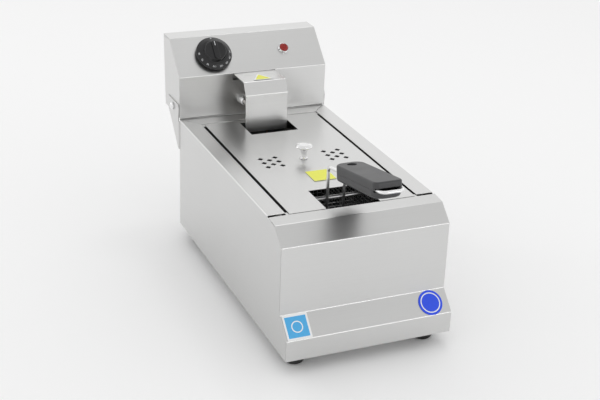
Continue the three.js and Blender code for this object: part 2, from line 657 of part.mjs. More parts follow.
function lidPlate() {
  const top = box(-LID_HALF_W, LID_HALF_W, LID_FRONT_Y, LID_REAR_Y, DECK_Z - SHEET, DECK_Z);
  const lips = SIDES.map(([, s]) => {
    const inner = s * (LID_HALF_W - SHEET);
    return box(Math.min(inner, s * LID_HALF_W), Math.max(inner, s * LID_HALF_W),
      LID_FRONT_Y + 13, LID_REAR_Y - 13, DECK_Z - LID_LIP, DECK_Z);
  });
  const cutout = box(-CUTOUT_HALF_W, CUTOUT_HALF_W, CUTOUT_FRONT_Y, LID_REAR_Y + 5, LEDGE_Z - 9, DECK_Z + 5);
  const notch = box(-NOTCH_HALF_W, NOTCH_HALF_W, LID_FRONT_Y - 5, NOTCH_REAR_Y, LEDGE_Z - 9, DECK_Z + 5);
  const screwHole = cylinder(2.4, LEDGE_Z - 5, DECK_Z + 5, 16).translate(0, KNOB_Y, 0);
  const vents = SIDES.flatMap(([, s]) => ventHoles(s));
  return mesh('lid_plate', cut(join(top, ...lips), cutout, notch, screwHole, ...vents), SATIN_STEEL);
}

function lidKnob() {
  const knob = turned([
    [2.1, GAP], [6.6, GAP], [6.6, 1.6], [4.8, 3.2], [4.4, 9], [4.8, 13], [7.4, 16.4], [12.6, 19.4],
    [13.6, 20.8], [13.2, 22.4], [9, 23.8], [0, 24.2], [0, 12], [2.1, 12], [2.1, GAP],
  ], 20);
  return mesh('lid_knob', knob, POLISHED_STEEL, [0, KNOB_Y, DECK_Z]);
}

function lidKnobScrew() {
  const base = -SHEET - GAP;
  const screw = turned([
    [0, base - 2.6], [3.4, base - 2.2], [4.2, base], [1.8, base], [1.8, 10], [0, 10],
  ], 16);
  return mesh('lid_knob_screw', screw, POLISHED_STEEL, [0, KNOB_Y, DECK_Z]);
}

// ---- frying basket -------------------------------------------------------------------------
const basketSide = (inset, top) => [
  [BASKET_FRONT_Y + inset, top], [BASKET_FRONT_Y + BASKET_DRAFT + inset, BASKET_BOTTOM_Z + inset],
  [BASKET_REAR_Y - 6 - inset, BASKET_BOTTOM_Z + inset], [BASKET_REAR_Y - inset, top],
];

function basketMesh() {
  const wall = (inset, top) => {
    const x = BASKET_HALF_W - inset;
    const plan = roundedRect(-x, x, BASKET_FRONT_Y + inset, BASKET_REAR_Y - inset, BASKET_CORNER_R - inset);
    return overlap(slab(basketSide(inset, top).reverse(), -x, x), plate(plan, 0, DECK_Z + 9, 4));
  };
  return mesh('basket_mesh', cut(wall(0, BASKET_TOP_Z), wall(BASKET_WALL, BASKET_TOP_Z + 9)), POLISHED_STEEL);
}

function basketRim() {
  const x = BASKET_HALF_W + RIM_OUT;
  const [front, rear, z] = [BASKET_FRONT_Y - RIM_OUT, BASKET_REAR_Y + RIM_OUT, BASKET_TOP_Z - RIM_R];
  const lap = 1;
  const halves = [-1, 1].map((s) => rod([
    [-lap * s, front, z], [s * x, front, z], [s * x, rear, z], [-lap * s, rear, z],
  ], RIM_R, BASKET_CORNER_R + RIM_OUT, 6, 3));
  return mesh('basket_rim', join(...halves), POLISHED_STEEL);
}

// the grip's own frame: y back along the grip, z up from its mid plane, origin at its rear end
const inGrip = (geometry) => geometry.clone().rotateX(-GRIP_TILT).translate(0, ...GRIP_REAR);
const gripPoint = (x, forward, up = 0) => {
  const at = new THREE.Vector3(x, -forward, up).applyAxisAngle(new THREE.Vector3(1, 0, 0), -GRIP_TILT);
  return [at.x, at.y + GRIP_REAR[0], at.z + GRIP_REAR[1]];
};

function handleRod() {
  const foot = BASKET_TOP_Z - 52;
  const half = [
    [ROD_X, ROD_Y, foot], [ROD_X, ROD_Y, ROD_TOP_Z], gripPoint(ROD_X, 8), gripPoint(LOOP_HALF_W, 70),
    gripPoint(LOOP_HALF_W, GRIP_LENGTH + LOOP_REACH - ROD_R),
  ];
  const line = [...half.map(([x, ...rest]) => [-x, ...rest]), ...half.reverse()];
  return mesh('handle_rod', rod(line, ROD_R, 9, 8, 3), POLISHED_STEEL);
}

function gripShell(name, side) {
  const half = GRIP_W / 2;
  const nose = side > 0 ? 7 : 15;
  const length = side > 0 ? GRIP_LENGTH - 2 : GRIP_LENGTH;
  const plan = new THREE.Shape();
  plan.moveTo(-half + nose, -length);
  plan.absarc(half - nose, -length + nose, nose, -Math.PI / 2, 0);
  plan.absarc(half - 17, -17, 17, 0, Math.PI / 2);
  plan.absarc(-half + 17, -17, 17, Math.PI / 2, Math.PI);
  plan.absarc(-half + nose, -length + nose, nose, Math.PI, 1.5 * Math.PI);
  const [low, high] = side > 0 ? [GAP / 2, GRIP_T / 2] : [-GRIP_T / 2, -GAP / 2];
  const block = plate(plan, low, high, 5);
  const channel = (x0, x1, back, ahead) => box(x0, x1, -ahead, -back, -ROD_R - 0.5, ROD_R + 0.5);
  const channels = [
    channel(-half + 1.5, half - 1.5, 30, length + 9), channel(-17.6, -10, -9, 31), channel(10, 17.6, -9, 31),
  ];
  const screwHole = cylinder(2.3, -20, 20, 16).translate(0, -SCREW_BACK, 0);
  const recess = cylinder(7.4, 6.6, 20, 24).translate(0, -SCREW_BACK, 0);
  return mesh(name, inGrip(cut(block, ...channels, screwHole, ...(side > 0 ? [recess] : []))), GREY_GRIP);
}

function gripScrew() {
  const screw = turned([[0, -6.6], [2, -6.6], [2, 6.9], [5, 6.9], [5, 8], [3.6, 9], [0, 9]], 16)
    .translate(0, -SCREW_BACK, 0);
  return mesh('grip_screw', inGrip(screw), POLISHED_STEEL);
}

// ---- labels, plain and unlettered ----------------------------------------------------------
const flareAngle = Math.atan2(KNEE[1] - TOE_TOP_Z, KNEE[0] - TOE_Y);
// a label drawn flat about its own +Z, laid on the flare at the foot of the front panel
const onFlare = (geometry, x) => geometry.clone().rotateX(flareAngle)
  .translate(x, (TOE_Y + KNEE[0]) / 2, (TOE_TOP_Z + KNEE[1]) / 2);
const LABEL_T = 0.4;
const label = (shape) => plate(shape, GAP, GAP + LABEL_T, 10);
const rectangle = (x, y) => outline([[-x, -y], [x, -y], [x, y], [-x, y]]);

function labels() {
  const round = new THREE.Shape().absarc(0, 0, 18.6, 0, 2 * Math.PI);
  const triangle = outline([[-18, 0], [18, 0], [0, 31.2]]);
  return {
    round: mesh('round_label', onFlare(label(round), 105), BLUE_LABEL),
    square: mesh('square_label', onFlare(label(rectangle(19, 18.4)), -113), SKY_LABEL),
    lid: mesh('lid_label', label(rectangle(18.5, 19.5)), YELLOW_LABEL, [-2, -50, DECK_Z]),
    hood: mesh('hood_label', label(triangle), YELLOW_LABEL, [0, HOOD_NOSE_Y + 4.6, HOOD_TOP_Z]),
  };
}

// ---- assembly ------------------------------------------------------------------------------
const group = (...pieces) => new THREE.Group().add(...pieces);
const paired = (make, stem) => SIDES.map(([name, side]) => make(`${name}_${stem}`, side));
const marks = labels();

const casing = group(
  frontPanel(), rearPanel(), bottomPlate(), oilTank(),
  ...paired(sidePanel, 'side_panel'),
  ...footPlaces.flatMap(([name, x, y]) => [foot(name, x, y), footScrew(name, x, y)]),
  ...paired(hingeBracket, 'hinge_bracket'),
  ...SIDES.flatMap(([name, side]) => Object.entries(BRACKET_SCREWS).map(
    ([at, z]) => bracketScrew(`${name}_bracket_${at}_screw`, side, z),
  )),
  ...paired(pivotScrew, 'pivot_screw'), ...paired(pivotNut, 'pivot_nut'),
  marks.round, marks.square,
);

const head = group(
  headCover(), headBack(), ...paired(headSide, 'head_side'), hood(), marks.hood,
  heatingElement(), ...paired(elementNut, 'element_nut'), guardGrid(), capillary(),
  thermostat(), lampBezel(), lampLens(), lampBody(), limitThermostat(), terminalBlock(), cableGland(),
);
const dial = group(controlDial(), spindle());
const basket = group(
  basketMesh(), basketRim(), handleRod(),
  gripShell('grip_upper', 1), gripShell('grip_lower', -1), gripScrew(),
);
const lid = group(lidPlate(), lidKnob(), lidKnobScrew(), marks.lid);

const fryer = group(casing, head, dial, basket, lid, resetButton());
const frontReach = gripPoint(0, GRIP_LENGTH + LOOP_REACH)[1];
const rearReach = HEAD_FOOT_REAR_Y + GLAND_OUT + GLAND_REACH;
fryer.position.y = -(frontReach + rearReach) / 2;

export default group(fryer);
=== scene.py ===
"""A single-tank countertop electric deep fryer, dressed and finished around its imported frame.

The front faces -Y and +X is to the right. Pieces are drawn in millimetres and finished in metres.
"""

import json
import logging
import math
from collections.abc import Callable, Iterable, Sequence
from dataclasses import dataclass, field
from enum import Enum

import bmesh
import bpy
from mathutils import Matrix, Vector

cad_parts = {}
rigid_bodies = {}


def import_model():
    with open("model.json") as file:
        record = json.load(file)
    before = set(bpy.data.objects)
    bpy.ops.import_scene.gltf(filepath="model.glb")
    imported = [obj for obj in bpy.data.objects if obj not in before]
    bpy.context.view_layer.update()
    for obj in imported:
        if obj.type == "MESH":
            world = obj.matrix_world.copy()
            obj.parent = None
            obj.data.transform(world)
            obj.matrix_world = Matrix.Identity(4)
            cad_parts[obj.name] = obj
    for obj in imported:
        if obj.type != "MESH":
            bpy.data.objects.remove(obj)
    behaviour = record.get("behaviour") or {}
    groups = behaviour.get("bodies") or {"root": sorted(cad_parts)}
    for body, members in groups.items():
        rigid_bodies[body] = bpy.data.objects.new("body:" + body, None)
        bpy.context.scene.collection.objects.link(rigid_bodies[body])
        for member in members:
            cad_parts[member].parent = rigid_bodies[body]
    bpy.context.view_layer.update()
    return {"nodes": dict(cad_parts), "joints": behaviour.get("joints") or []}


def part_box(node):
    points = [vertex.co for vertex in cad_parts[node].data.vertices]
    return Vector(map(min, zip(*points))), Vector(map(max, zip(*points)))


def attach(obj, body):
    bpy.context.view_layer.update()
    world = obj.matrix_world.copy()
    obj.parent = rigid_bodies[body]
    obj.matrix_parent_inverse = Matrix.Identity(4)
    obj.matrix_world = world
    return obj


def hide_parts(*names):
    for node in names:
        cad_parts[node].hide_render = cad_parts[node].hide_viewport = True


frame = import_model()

MM = 0.001
SIDES = (("left", -1), ("right", 1))
LAMP_ABOVE_DIAL = 1.5
PALE_INK = (0.86, 0.87, 0.87)
log = logging.getLogger("fryer")

Material = bpy.types.Material
Edge = bmesh.types.BMEdge
Vert = bmesh.types.BMVert
Point = tuple[float, float]
Corner = tuple[float, float, float]
Colour = tuple[float, float, float]


# ---- shader maths
class Value:
    """A socket that takes part in Python arithmetic."""

    def __init__(self, recipe: "Recipe", socket: bpy.types.NodeSocket) -> None:
        """Wraps one output socket of a recipe's tree."""
        self.recipe = recipe
        self.socket = socket

    def __add__(self, other: "Value | float") -> "Value":
        """Returns self + other."""
        return self.recipe.maths("ADD", self, other)

    __radd__ = __add__

    def __sub__(self, other: "Value | float") -> "Value":
        """Returns self - other."""
        return self.recipe.maths("SUBTRACT", self, other)

    def __rsub__(self, other: float) -> "Value":
        """Returns other - self."""
        return self.recipe.maths("SUBTRACT", other, self)

    def __mul__(self, other: "Value | float") -> "Value":
        """Returns self * other."""
        return self.recipe.maths("MULTIPLY", self, other)

    __rmul__ = __mul__

    def __lt__(self, other: "Value | float") -> "Value":
        """Returns 1 where self is below other, else 0."""
        return self.recipe.maths("LESS_THAN", self, other)

    def __abs__(self) -> "Value":
        """Returns the absolute value."""
        return self.recipe.maths("ABSOLUTE", self, 0.0)


Input = Value | float | Sequence[float]


class Recipe:
    """The node tree of one material or world, written as calls and expressions."""

    def __init__(self, owner: Material | bpy.types.World) -> None:
        """Clears the owner's tree.

        Args:
            owner: the material or world that the tree belongs to.
        """
        self.owner = owner
        owner.use_nodes = True
        self.tree = owner.node_tree
        self.tree.nodes.clear()

    @classmethod
    def named(cls, name: str) -> "Recipe":
        """Starts a new material."""
        return cls(bpy.data.materials.new(name))

    def node(self, kind: str, settings: dict[str, object] | None = None,
             inputs: dict[str | int, Input] | None = None) -> bpy.types.Node:
        """Adds any node.

        Args:
            kind: the node's type.
            settings: its attributes, set first.
            inputs: the value or the link of each socket, by name or number.

        Returns:
            The new node.
        """
        made = self.tree.nodes.new(kind)
        for name, setting in (settings or {}).items():
            setattr(made, name, setting)
        for key, value in (inputs or {}).items():
            if isinstance(value, Value):
                self.tree.links.new(value.socket, made.inputs[key])
            else:
                made.inputs[key].default_value = value
        return made

    def value(self, kind: str, settings: dict[str, object] | None = None,
              inputs: dict[str | int, Input] | None = None, output: int | str = 0) -> Value:
        """Adds any node and returns one of its outputs."""
        return Value(self, self.node(kind, settings, inputs).outputs[output])

    def maths(self, operation: str, first: Input, second: Input) -> Value:
        """Adds a Math node and returns its result."""
        return self.value("ShaderNodeMath", {"operation": operation}, {0: first, 1: second})

    def place(self) -> Value:
        """Returns the point being shaded, in the object's own metres."""
        return self.value("ShaderNodeTexCoord", output="Object")

    def vector(self, operation: str, first: Input, second: Input, output: int = 0) -> Value:
        """Adds a Vector Math node and returns one of its outputs."""
        return self.value("ShaderNodeVectorMath", {"operation": operation}, {0: first, 1: second}, output)

    def noise(self, at: Value, frequency: Sequence[float], detail: float = 2.0) -> Value:
        """Adds a noise pattern.

        Args:
            at: the point.
            frequency: features per metre along each axis.
            detail: octaves.

        Returns:
            The pattern, about 0.5 on average.
        """
        scaled = self.vector("MULTIPLY", at, frequency)
        return self.value("ShaderNodeTexNoise", None, {"Vector": scaled, "Scale": 1.0, "Detail": detail})

    def blend(self, factor: Input, first: Input, second: Input) -> Value:
        """Mixes two colours: first at factor 0, second at 1."""
        return self.value("ShaderNodeMix", {"data_type": "RGBA"}, {0: factor, 6: first, 7: second}, 2)

    def ramp(self, at: Value, span: tuple[float, float], to: tuple[float, float]) -> Value:
        """Maps a span of values onto another, held at its ends."""
        ends = {"From Min": span[0], "From Max": span[1], "To Min": to[0], "To Max": to[1]}
        return self.value("ShaderNodeMapRange", {"clamp": True}, {"Value": at} | ends)

    def bump(self, height: Value, distance: float, strength: float) -> Value:
        """Turns a height pattern into a normal, with its depth in metres."""
        sizes = {"Distance": distance, "Strength": strength}
        return self.value("ShaderNodeBump", None, {"Height": height} | sizes)

    def surface(self, inputs: dict[str | int, Input]) -> Material:
        """Ends the tree with a principled surface and returns the material."""
        shader = self.value("ShaderNodeBsdfPrincipled", None, inputs)
        self.node("ShaderNodeOutputMaterial", None, {"Surface": shader})
        return self.owner


def grey(tone: float, warmth: float = 0.0) -> tuple[float, float, float, float]:
    """Returns a grey of a tone, with its blue lowered by the warmth."""
    return tone, tone, tone * (1 - warmth), 1.0


def shade(colour: Colour, share: float) -> tuple[float, ...]:
    """Returns a share of a colour, opaque."""
    return tuple(min(1.0, part * share) for part in colour) + (1.0,)


# ---- finishes
class Grain(Enum):
    """The axis that a sheet was brushed along."""

    ALONG_X = 0
    ALONG_Y = 1
    ALONG_Z = 2


@dataclass(frozen=True)
class BrushedSteel:
    """Satin stainless sheet: fine lines along the grain, faint clouds and wiping marks."""

    name: str
    grain: Grain
    tone: float = 0.66
    roughness: float = 0.31
    lines_per_metre: float = 2600.0
    line_length_frequency: float = 9.0
    line_depth: float = 0.000004
    contrast: float = 0.07

    def make(self) -> Material:
        """Returns the material."""
        recipe = Recipe.named(self.name)
        at = recipe.place()
        frequency = [self.lines_per_metre] * 3
        frequency[self.grain.value] = self.line_length_frequency
        lines = recipe.noise(at, frequency, 3.0)
        broad = [each * 0.2 for each in frequency]
        bands = recipe.noise(at, broad, 1.0)
        clouds = recipe.noise(at, (6.0, 6.0, 6.0), 2.0)
        pattern = lines * 0.5 + bands * 0.15 + clouds * 0.35
        dull, bright = self.tone * (1 - self.contrast), self.tone * (1 + self.contrast)
        return recipe.surface({
            "Base Color": recipe.blend(pattern, grey(dull, 0.015), grey(bright, 0.005)),
            "Metallic": 1.0,
            "Roughness": (lines - 0.5) * 0.08 + (clouds - 0.5) * 0.08 + self.roughness,
            "Normal": recipe.bump(lines, self.line_depth, 0.4),
        })


@dataclass(frozen=True)
class PolishedSteel:
    """Bright turned, drawn or plated metal with hairline wear."""

    name: str
    tone: float = 0.82
    roughness: float = 0.12
    tint: Colour = (1.0, 1.0, 1.0)

    def make(self) -> Material:
        """Returns the material."""
        recipe = Recipe.named(self.name)
        at = recipe.place()
        wear = recipe.noise(at, (380.0, 380.0, 380.0), 3.0)
        film = recipe.noise(at, (40.0, 40.0, 40.0), 2.0)
        dull, bright = shade(self.tint, self.tone * 0.88), shade(self.tint, self.tone * 1.08)
        return recipe.surface({
            "Base Color": recipe.blend(film, dull, bright),
            "Metallic": 1.0,
            "Roughness": (wear - 0.5) * 0.12 + (film - 0.5) * 0.08 + self.roughness,
            "Normal": recipe.bump(wear, 0.000008, 0.4),
        })


@dataclass(frozen=True)
class Moulded:
    """Moulded plastic, rubber or fired clay: one colour with a fine skin."""

    name: str
    colour: Colour
    roughness: float
    skin_per_metre: float = 1400.0
    skin_depth: float = 0.00003
    wear: float = 0.12

    def make(self) -> Material:
        """Returns the material."""
        recipe = Recipe.named(self.name)
        at = recipe.place()
        skin = recipe.noise(at, (self.skin_per_metre,) * 3, 2.0)
        rubbed = recipe.noise(at, (34.0, 34.0, 34.0), 3.0)
        dark, pale = shade(self.colour, 1 - self.wear), shade(self.colour, 1 + self.wear)
        return recipe.surface({
            "Base Color": recipe.blend(rubbed, dark, pale),
            "Roughness": (rubbed - 0.5) * 0.14 + (skin - 0.5) * 0.06 + self.roughness,
            "Normal": recipe.bump(skin, self.skin_depth, 0.6),
        })


class LabelShape(Enum):
    """The outline of a printed label."""

    ROUND = "round"
    SQUARE = "square"
    TRIANGLE = "triangle"


@dataclass(frozen=True)
class Printed:
    """A printed label with a pale border and, if it has a radius, a pale ring on its ground."""

    name: str
    shape: LabelShape
    ground: Colour
    centre: Vector
    up: Vector
    half_width: float
    half_height: float
    border: float
    ring: float = 0.0
    ring_width: float = 1.6
    pale: Colour = PALE_INK

    def to_edge(self, u: Value, v: Value) -> Value:
        """Returns how far a point lies inside the label's outline, in millimetres."""
        recipe = u.recipe
        if self.shape is LabelShape.ROUND:
            return self.half_width - recipe.maths("SQRT", u * u + v * v, 0.0)
        if self.shape is LabelShape.SQUARE:
            return recipe.maths("MINIMUM", self.half_width - abs(u), self.half_height - abs(v))
        slope = math.atan2(2 * self.half_height, self.half_width)
        side = (self.half_width * (0.5 - v * (0.5 / self.half_height)) - abs(u)) * math.sin(slope)
        return recipe.maths("MINIMUM", v + self.half_height, side)

    def make(self) -> Material:
        """Returns the material."""
        recipe = Recipe.named(self.name)
        at = recipe.place()
        from_centre = recipe.vector("SUBTRACT", at, self.centre * MM)
        across = recipe.vector("DOT_PRODUCT", from_centre, (1.0, 0.0, 0.0), 1)
        upward = recipe.vector("DOT_PRODUCT", from_centre, self.up, 1)
        u, v = across * (1 / MM), upward * (1 / MM)
        printed = self.to_edge(u, v) < self.border
        if self.ring:
            away = abs(recipe.maths("SQRT", u * u + v * v, 0.0) - self.ring)
            printed = recipe.maths("MAXIMUM", printed, away < self.ring_width / 2)
        ink = recipe.noise(at, (260.0, 260.0, 260.0), 3.0)
        ground = recipe.blend(ink, shade(self.ground, 0.93), shade(self.ground, 1.07))
        return recipe.surface({
            "Base Color": recipe.blend(printed, ground, self.pale + (1.0,)),
            "Roughness": ink * 0.15 + 0.3,
            "Normal": recipe.bump(ink, 0.00002, 0.4),
        })


def made(finish: BrushedSteel | PolishedSteel | Moulded) -> Material:
    """Returns a field that is filled with the finish's material when the finishes are mixed."""
    return field(default_factory=finish.make)


@dataclass(frozen=True)
class Finishes:
    """Every finish that more than one piece takes."""

    across: Material = made(BrushedSteel("steel_brushed_across", Grain.ALONG_X))
    lengthwise: Material = made(BrushedSteel("steel_brushed_lengthwise", Grain.ALONG_Y))
    upright: Material = made(BrushedSteel("steel_brushed_upright", Grain.ALONG_Z))
    # The tank's steel is much darker than the other sheets: painted shade standing in for the shade inside
    # the tank.
    tank: Material = made(BrushedSteel("steel_tank", Grain.ALONG_Y, tone=0.3, roughness=0.36))
    polished: Material = made(PolishedSteel("steel_polished"))
    wire: Material = made(PolishedSteel("wire_bright", 0.86, 0.34))
    element: Material = made(PolishedSteel("tube_heat_stained", 0.7, 0.2, (1, 0.97, 0.92)))
    copper: Material = made(PolishedSteel("copper_drawn", 0.8, 0.25, (1, 0.62, 0.38)))
    dial: Material = made(Moulded("plastic_gloss_black", (0.006, 0.006, 0.007), 0.13, 600.0, 0.000004))
    marks: Material = made(Moulded("ink_white", (0.82, 0.83, 0.84), 0.45))
    grip: Material = made(Moulded("plastic_grey_grip", (0.042, 0.042, 0.044), 0.42, 1700.0, 0.00004))
    foot: Material = made(Moulded("rubber_black", (0.016, 0.016, 0.016), 0.72, 900.0, 0.00006))
    gland: Material = made(Moulded("nylon_black", (0.02, 0.02, 0.021), 0.42))
    lens: Material = made(Moulded("lens_red", (0.3, 0.008, 0.003), 0.16, 900.0, 0.00001, wear=0.3))
    button: Material = made(Moulded("plastic_red", (0.5, 0.03, 0.02), 0.4))
    ceramic: Material = made(Moulded("ceramic_white", (0.78, 0.76, 0.7), 0.55, 700.0))


# ---- mesh work
def put(name: str, data: bpy.types.ID) -> bpy.types.Object:
    """Adds an object that holds the data to the scene."""
    item = bpy.data.objects.new(name, data)
    bpy.context.scene.collection.objects.link(item)
    return item


@dataclass(frozen=True)
class Box:
    """A CAD node's box at rest, in millimetres."""

    low: Vector
    high: Vector

    @classmethod
    def of(cls, node: str) -> "Box":
        """Reads the box of a node."""
        low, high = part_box(node)
        return cls(low / MM, high / MM)

    @property
    def centre(self) -> Vector:
        """The middle of the box."""
        return (self.low + self.high) / 2


class Piece:
    """A mesh in the making, in millimetres, that ends as one object riding on a body."""

    def __init__(self) -> None:
        """Starts with an empty mesh."""
        self.bm = bmesh.new()

    # -- starting shapes
    @classmethod
    def turned(cls, profile: Sequence[Corner], steps: int = 64, closed: bool = False) -> "Piece":
        """Spins a profile about Z.

        Args:
            profile: radius, height and rounding of each corner.
            steps: facets round the axis.
            closed: whether the profile closes on itself, as a ring's does.

        Returns:
            The turned piece.
        """
        piece = cls()
        verts = piece.chain([(r, 0.0, z) for r, z, _ in profile], closed)
        for vert, (_, _, radius) in zip(verts, profile):
            piece.soften(vert, radius)
        bmesh.ops.spin(
            piece.bm, geom=piece.bm.verts[:] + piece.bm.edges[:], cent=(0, 0, 0), axis=(0, 0, 1),
            dvec=(0, 0, 0), angle=2 * math.pi, steps=steps, use_merge=True,
        )
        return piece.heal()

    @classmethod
    def face(cls, outline: Iterable[Sequence[float]]) -> "Piece":
        """Fills an outline with one flat face."""
        piece = cls()
        piece.bm.faces.new([piece.bm.verts.new(point) for point in outline])
        return piece

    @classmethod
    def plate(cls, outline: Sequence[Corner], thickness: float) -> "Piece":
        """Makes a flat plate under z = 0.

        Args:
            outline: x, y and rounding of each corner.
            thickness: the plate's depth below z = 0.

        Returns:
            The plate.
        """
        piece = cls.face([(x, y, 0.0) for x, y, _ in outline])
        for vert, (_, _, radius) in zip(piece.bm.verts[:], outline):
            piece.soften(vert, radius)
        grown = bmesh.ops.extrude_face_region(piece.bm, geom=piece.bm.faces[:])["geom"]
        moved = [each for each in grown if isinstance(each, Vert)]
        bmesh.ops.translate(piece.bm, verts=moved, vec=(0, 0, -thickness))
        return piece.heal()

    @classmethod
    def block(cls, low: Sequence[float], high: Sequence[float]) -> "Piece":
        """Makes a rectangular block between two corners."""
        piece = cls()
        bmesh.ops.create_cube(piece.bm, size=1.0)
        span = [b - a for a, b in zip(low, high)]
        middle = [(a + b) / 2 for a, b in zip(low, high)]
        return piece.place(Matrix.Translation(middle) @ Matrix.Diagonal((*span, 1.0)))

    @classmethod
    def bar(cls, radius: float, low: float, high: float, sides: int = 48) -> "Piece":
        """Makes a round or many-sided bar along Z, from low to high."""
        piece = cls()
        bmesh.ops.create_cone(
            piece.bm, cap_ends=True, segments=sides, radius1=radius, radius2=radius, depth=high - low,
        )
        return piece.place(Matrix.Translation((0, 0, (low + high) / 2)))

    @classmethod
    def folded(cls, profile: Sequence[Corner], x0: float, x1: float, thickness: float) -> "Piece":
        """Folds a strip of sheet along X.

        Args:
            profile: y, z and bend radius of each corner of the outer face. Going up, it faces -Y.
            x0: the left edge.
            x1: the right edge.
            thickness: the sheet, to the inside.

        Returns:
            The folded sheet.
        """
        piece = cls()
        verts = piece.chain([(x0, y, z) for y, z, _ in profile])
        piece.grow(piece.bm.edges[:], (x1 - x0, 0, 0))
        for vert, (_, _, radius) in list(zip(verts, profile))[1:-1]:
            piece.bend(folds(vert.link_edges), radius)
        return piece.thicken(thickness)

    @classmethod
    def tube(cls, paths: Iterable[Sequence[Sequence[float]]], radius: float, sides: int = 12,
             closed: bool = False) -> "Piece":
        """Draws round wire or tube along paths.

        Args:
            paths: the points of each path.
            radius: the wire's radius.
            sides: facets round the wire, an even number.
            closed: whether each path closes on itself.

        Returns:
            The wires as one mesh.
        """
        curve = bpy.data.curves.new("wire", "CURVE")
        curve.dimensions = "3D"
        curve.bevel_depth = radius
        curve.bevel_resolution = sides // 2 - 2
        curve.use_fill_caps = True
        for path in paths:
            spline = curve.splines.new("POLY")
            spline.points.add(len(path) - 1)
            for point, at in zip(spline.points, path):
                point.co = (*at, 1.0)
            spline.use_cyclic_u = closed
        return cls.from_data(curve)

    @classmethod
    def lettering(cls, text: str, height: float, depth: float) -> "Piece":
        """Sets a short text about the origin, in the XY plane."""
        curve = bpy.data.curves.new("lettering", "FONT")
        curve.body = text
        curve.size = height
        curve.extrude = depth
        curve.align_x = "CENTER"
        curve.align_y = "CENTER"
        return cls.from_data(curve)

    @classmethod
    def from_data(cls, data: bpy.types.ID) -> "Piece":
        """Turns curve or text data into a piece, and deletes the data."""
        piece = cls()
        maker = put("maker", data)
        depsgraph = bpy.context.evaluated_depsgraph_get()
        mesh = bpy.data.meshes.new_from_object(maker.evaluated_get(depsgraph))
        piece.bm.from_mesh(mesh)
        bpy.data.objects.remove(maker)
        bpy.data.curves.remove(data)
        bpy.data.meshes.remove(mesh)
        return piece.heal()

    # -- shaping
    def chain(self, points: Sequence[Sequence[float]], closed: bool = False) -> list[Vert]:
        """Draws a wire through points and returns its vertices."""
        verts = [self.bm.verts.new(point) for point in points]
        for pair in zip(verts, verts[1:] + verts[:1] if closed else verts[1:]):
            self.bm.edges.new(pair)
        return verts

    def grow(self, edges: Sequence[Edge], by: Sequence[float]) -> list[Vert]:
        """Draws edges out into faces, shifts the new vertices and returns them."""
        grown = bmesh.ops.extrude_edge_only(self.bm, edges=edges)["geom"]
        moved = [each for each in grown if isinstance(each, Vert)]
        bmesh.ops.translate(self.bm, verts=moved, vec=by)
        return moved

    def face_along(self, face: bmesh.types.BMFace, axis: int) -> None:
        """Turns the whole surface over if one face looks against an axis."""
        self.bm.normal_update()
        if face.normal[axis] < 0:
            bmesh.ops.reverse_faces(self.bm, faces=self.bm.faces[:])

    def bevel(self, geom: Sequence[Edge | Vert], width: float,
              segments: int, affect: str = "EDGES") -> None:
        """Cuts edges or corners back by a width and rounds them."""
        bmesh.ops.bevel(self.bm, geom=geom, affect=affect, offset=width, offset_type="OFFSET",
                        segments=segments, profile=0.5, material=-1)

    def soften(self, vert: Vert, radius: float, segments: int = 8) -> None:
        """Rounds one corner of a wire or of a flat face."""
        if radius <= 0 or len(vert.link_edges) != 2:
            return
        first, second = (edge.other_vert(vert).co - vert.co for edge in vert.link_edges)
        turn = math.pi - first.angle(second)
        self.bevel([vert], radius * math.tan(turn / 2), segments, "VERTICES")

    def bend(self, edges: Sequence[Edge], radius: float, segments: int = 6) -> None:
        """Rounds fold edges of an open surface to a bend radius."""
        for edge in edges:
            if radius > 0:
                self.bevel([edge], radius * math.tan(edge.calc_face_angle() / 2), segments)

    def thicken(self, thickness: float) -> "Piece":
        """Gives an open surface its sheet thickness, behind its face."""
        self.bm.normal_update()
        bmesh.ops.solidify(self.bm, geom=self.bm.faces[:], thickness=thickness)
        return self.heal()

    def heal(self) -> "Piece":
        """Merges doubles and turns every face outward."""
        bmesh.ops.remove_doubles(self.bm, verts=self.bm.verts[:], dist=1e-4)
        bmesh.ops.recalc_face_normals(self.bm, faces=self.bm.faces[:])
        return self

    def place(self, matrix: Matrix) -> "Piece":
        """Moves the whole piece by a matrix."""
        bmesh.ops.transform(self.bm, matrix=matrix, verts=self.bm.verts[:])
        if matrix.determinant() < 0:
            bmesh.ops.reverse_faces(self.bm, faces=self.bm.faces[:])
        return self

    def move(self, x: float, y: float, z: float) -> "Piece":
        """Shifts the whole piece."""
        return self.place(Matrix.Translation((x, y, z)))

    def to_side(self, side: int) -> "Piece":
        """Mirrors a piece drawn for the right side when the side is the left."""
        return self if side > 0 else self.place(Matrix.Diagonal((-1, 1, 1, 1)))

    def join(self, *others: "Piece") -> "Piece":
        """Adds other pieces' meshes to this one."""
        for other in others:
            mesh = other.mesh("joined")
            self.bm.from_mesh(mesh)
            bpy.data.meshes.remove(mesh)
        return self

    def carve(self, *tools: "Piece") -> "Piece":
        """Cuts the tools' shapes out of this piece."""
        stock = put("stock", self.mesh("stock"))
        cutters = [put("cutter", tool.mesh("cutter")) for tool in tools]
        for cutter in cutters:
            cut = stock.modifiers.new("cut", "BOOLEAN")
            cut.object = cutter
            cut.solver = "EXACT"
        depsgraph = bpy.context.evaluated_depsgraph_get()
        mesh = bpy.data.meshes.new_from_object(stock.evaluated_get(depsgraph))
        self.bm = bmesh.new()
        self.bm.from_mesh(mesh)
        for each in (stock, *cutters):
            data = each.data
            bpy.data.objects.remove(each)
            bpy.data.meshes.remove(data)
        bpy.data.meshes.remove(mesh)
        return self

    def mesh(self, name: str) -> bpy.types.Mesh:
        """Writes the mesh out, still in millimetres."""
        mesh = bpy.data.meshes.new(name)
        self.bm.to_mesh(mesh)
        return mesh

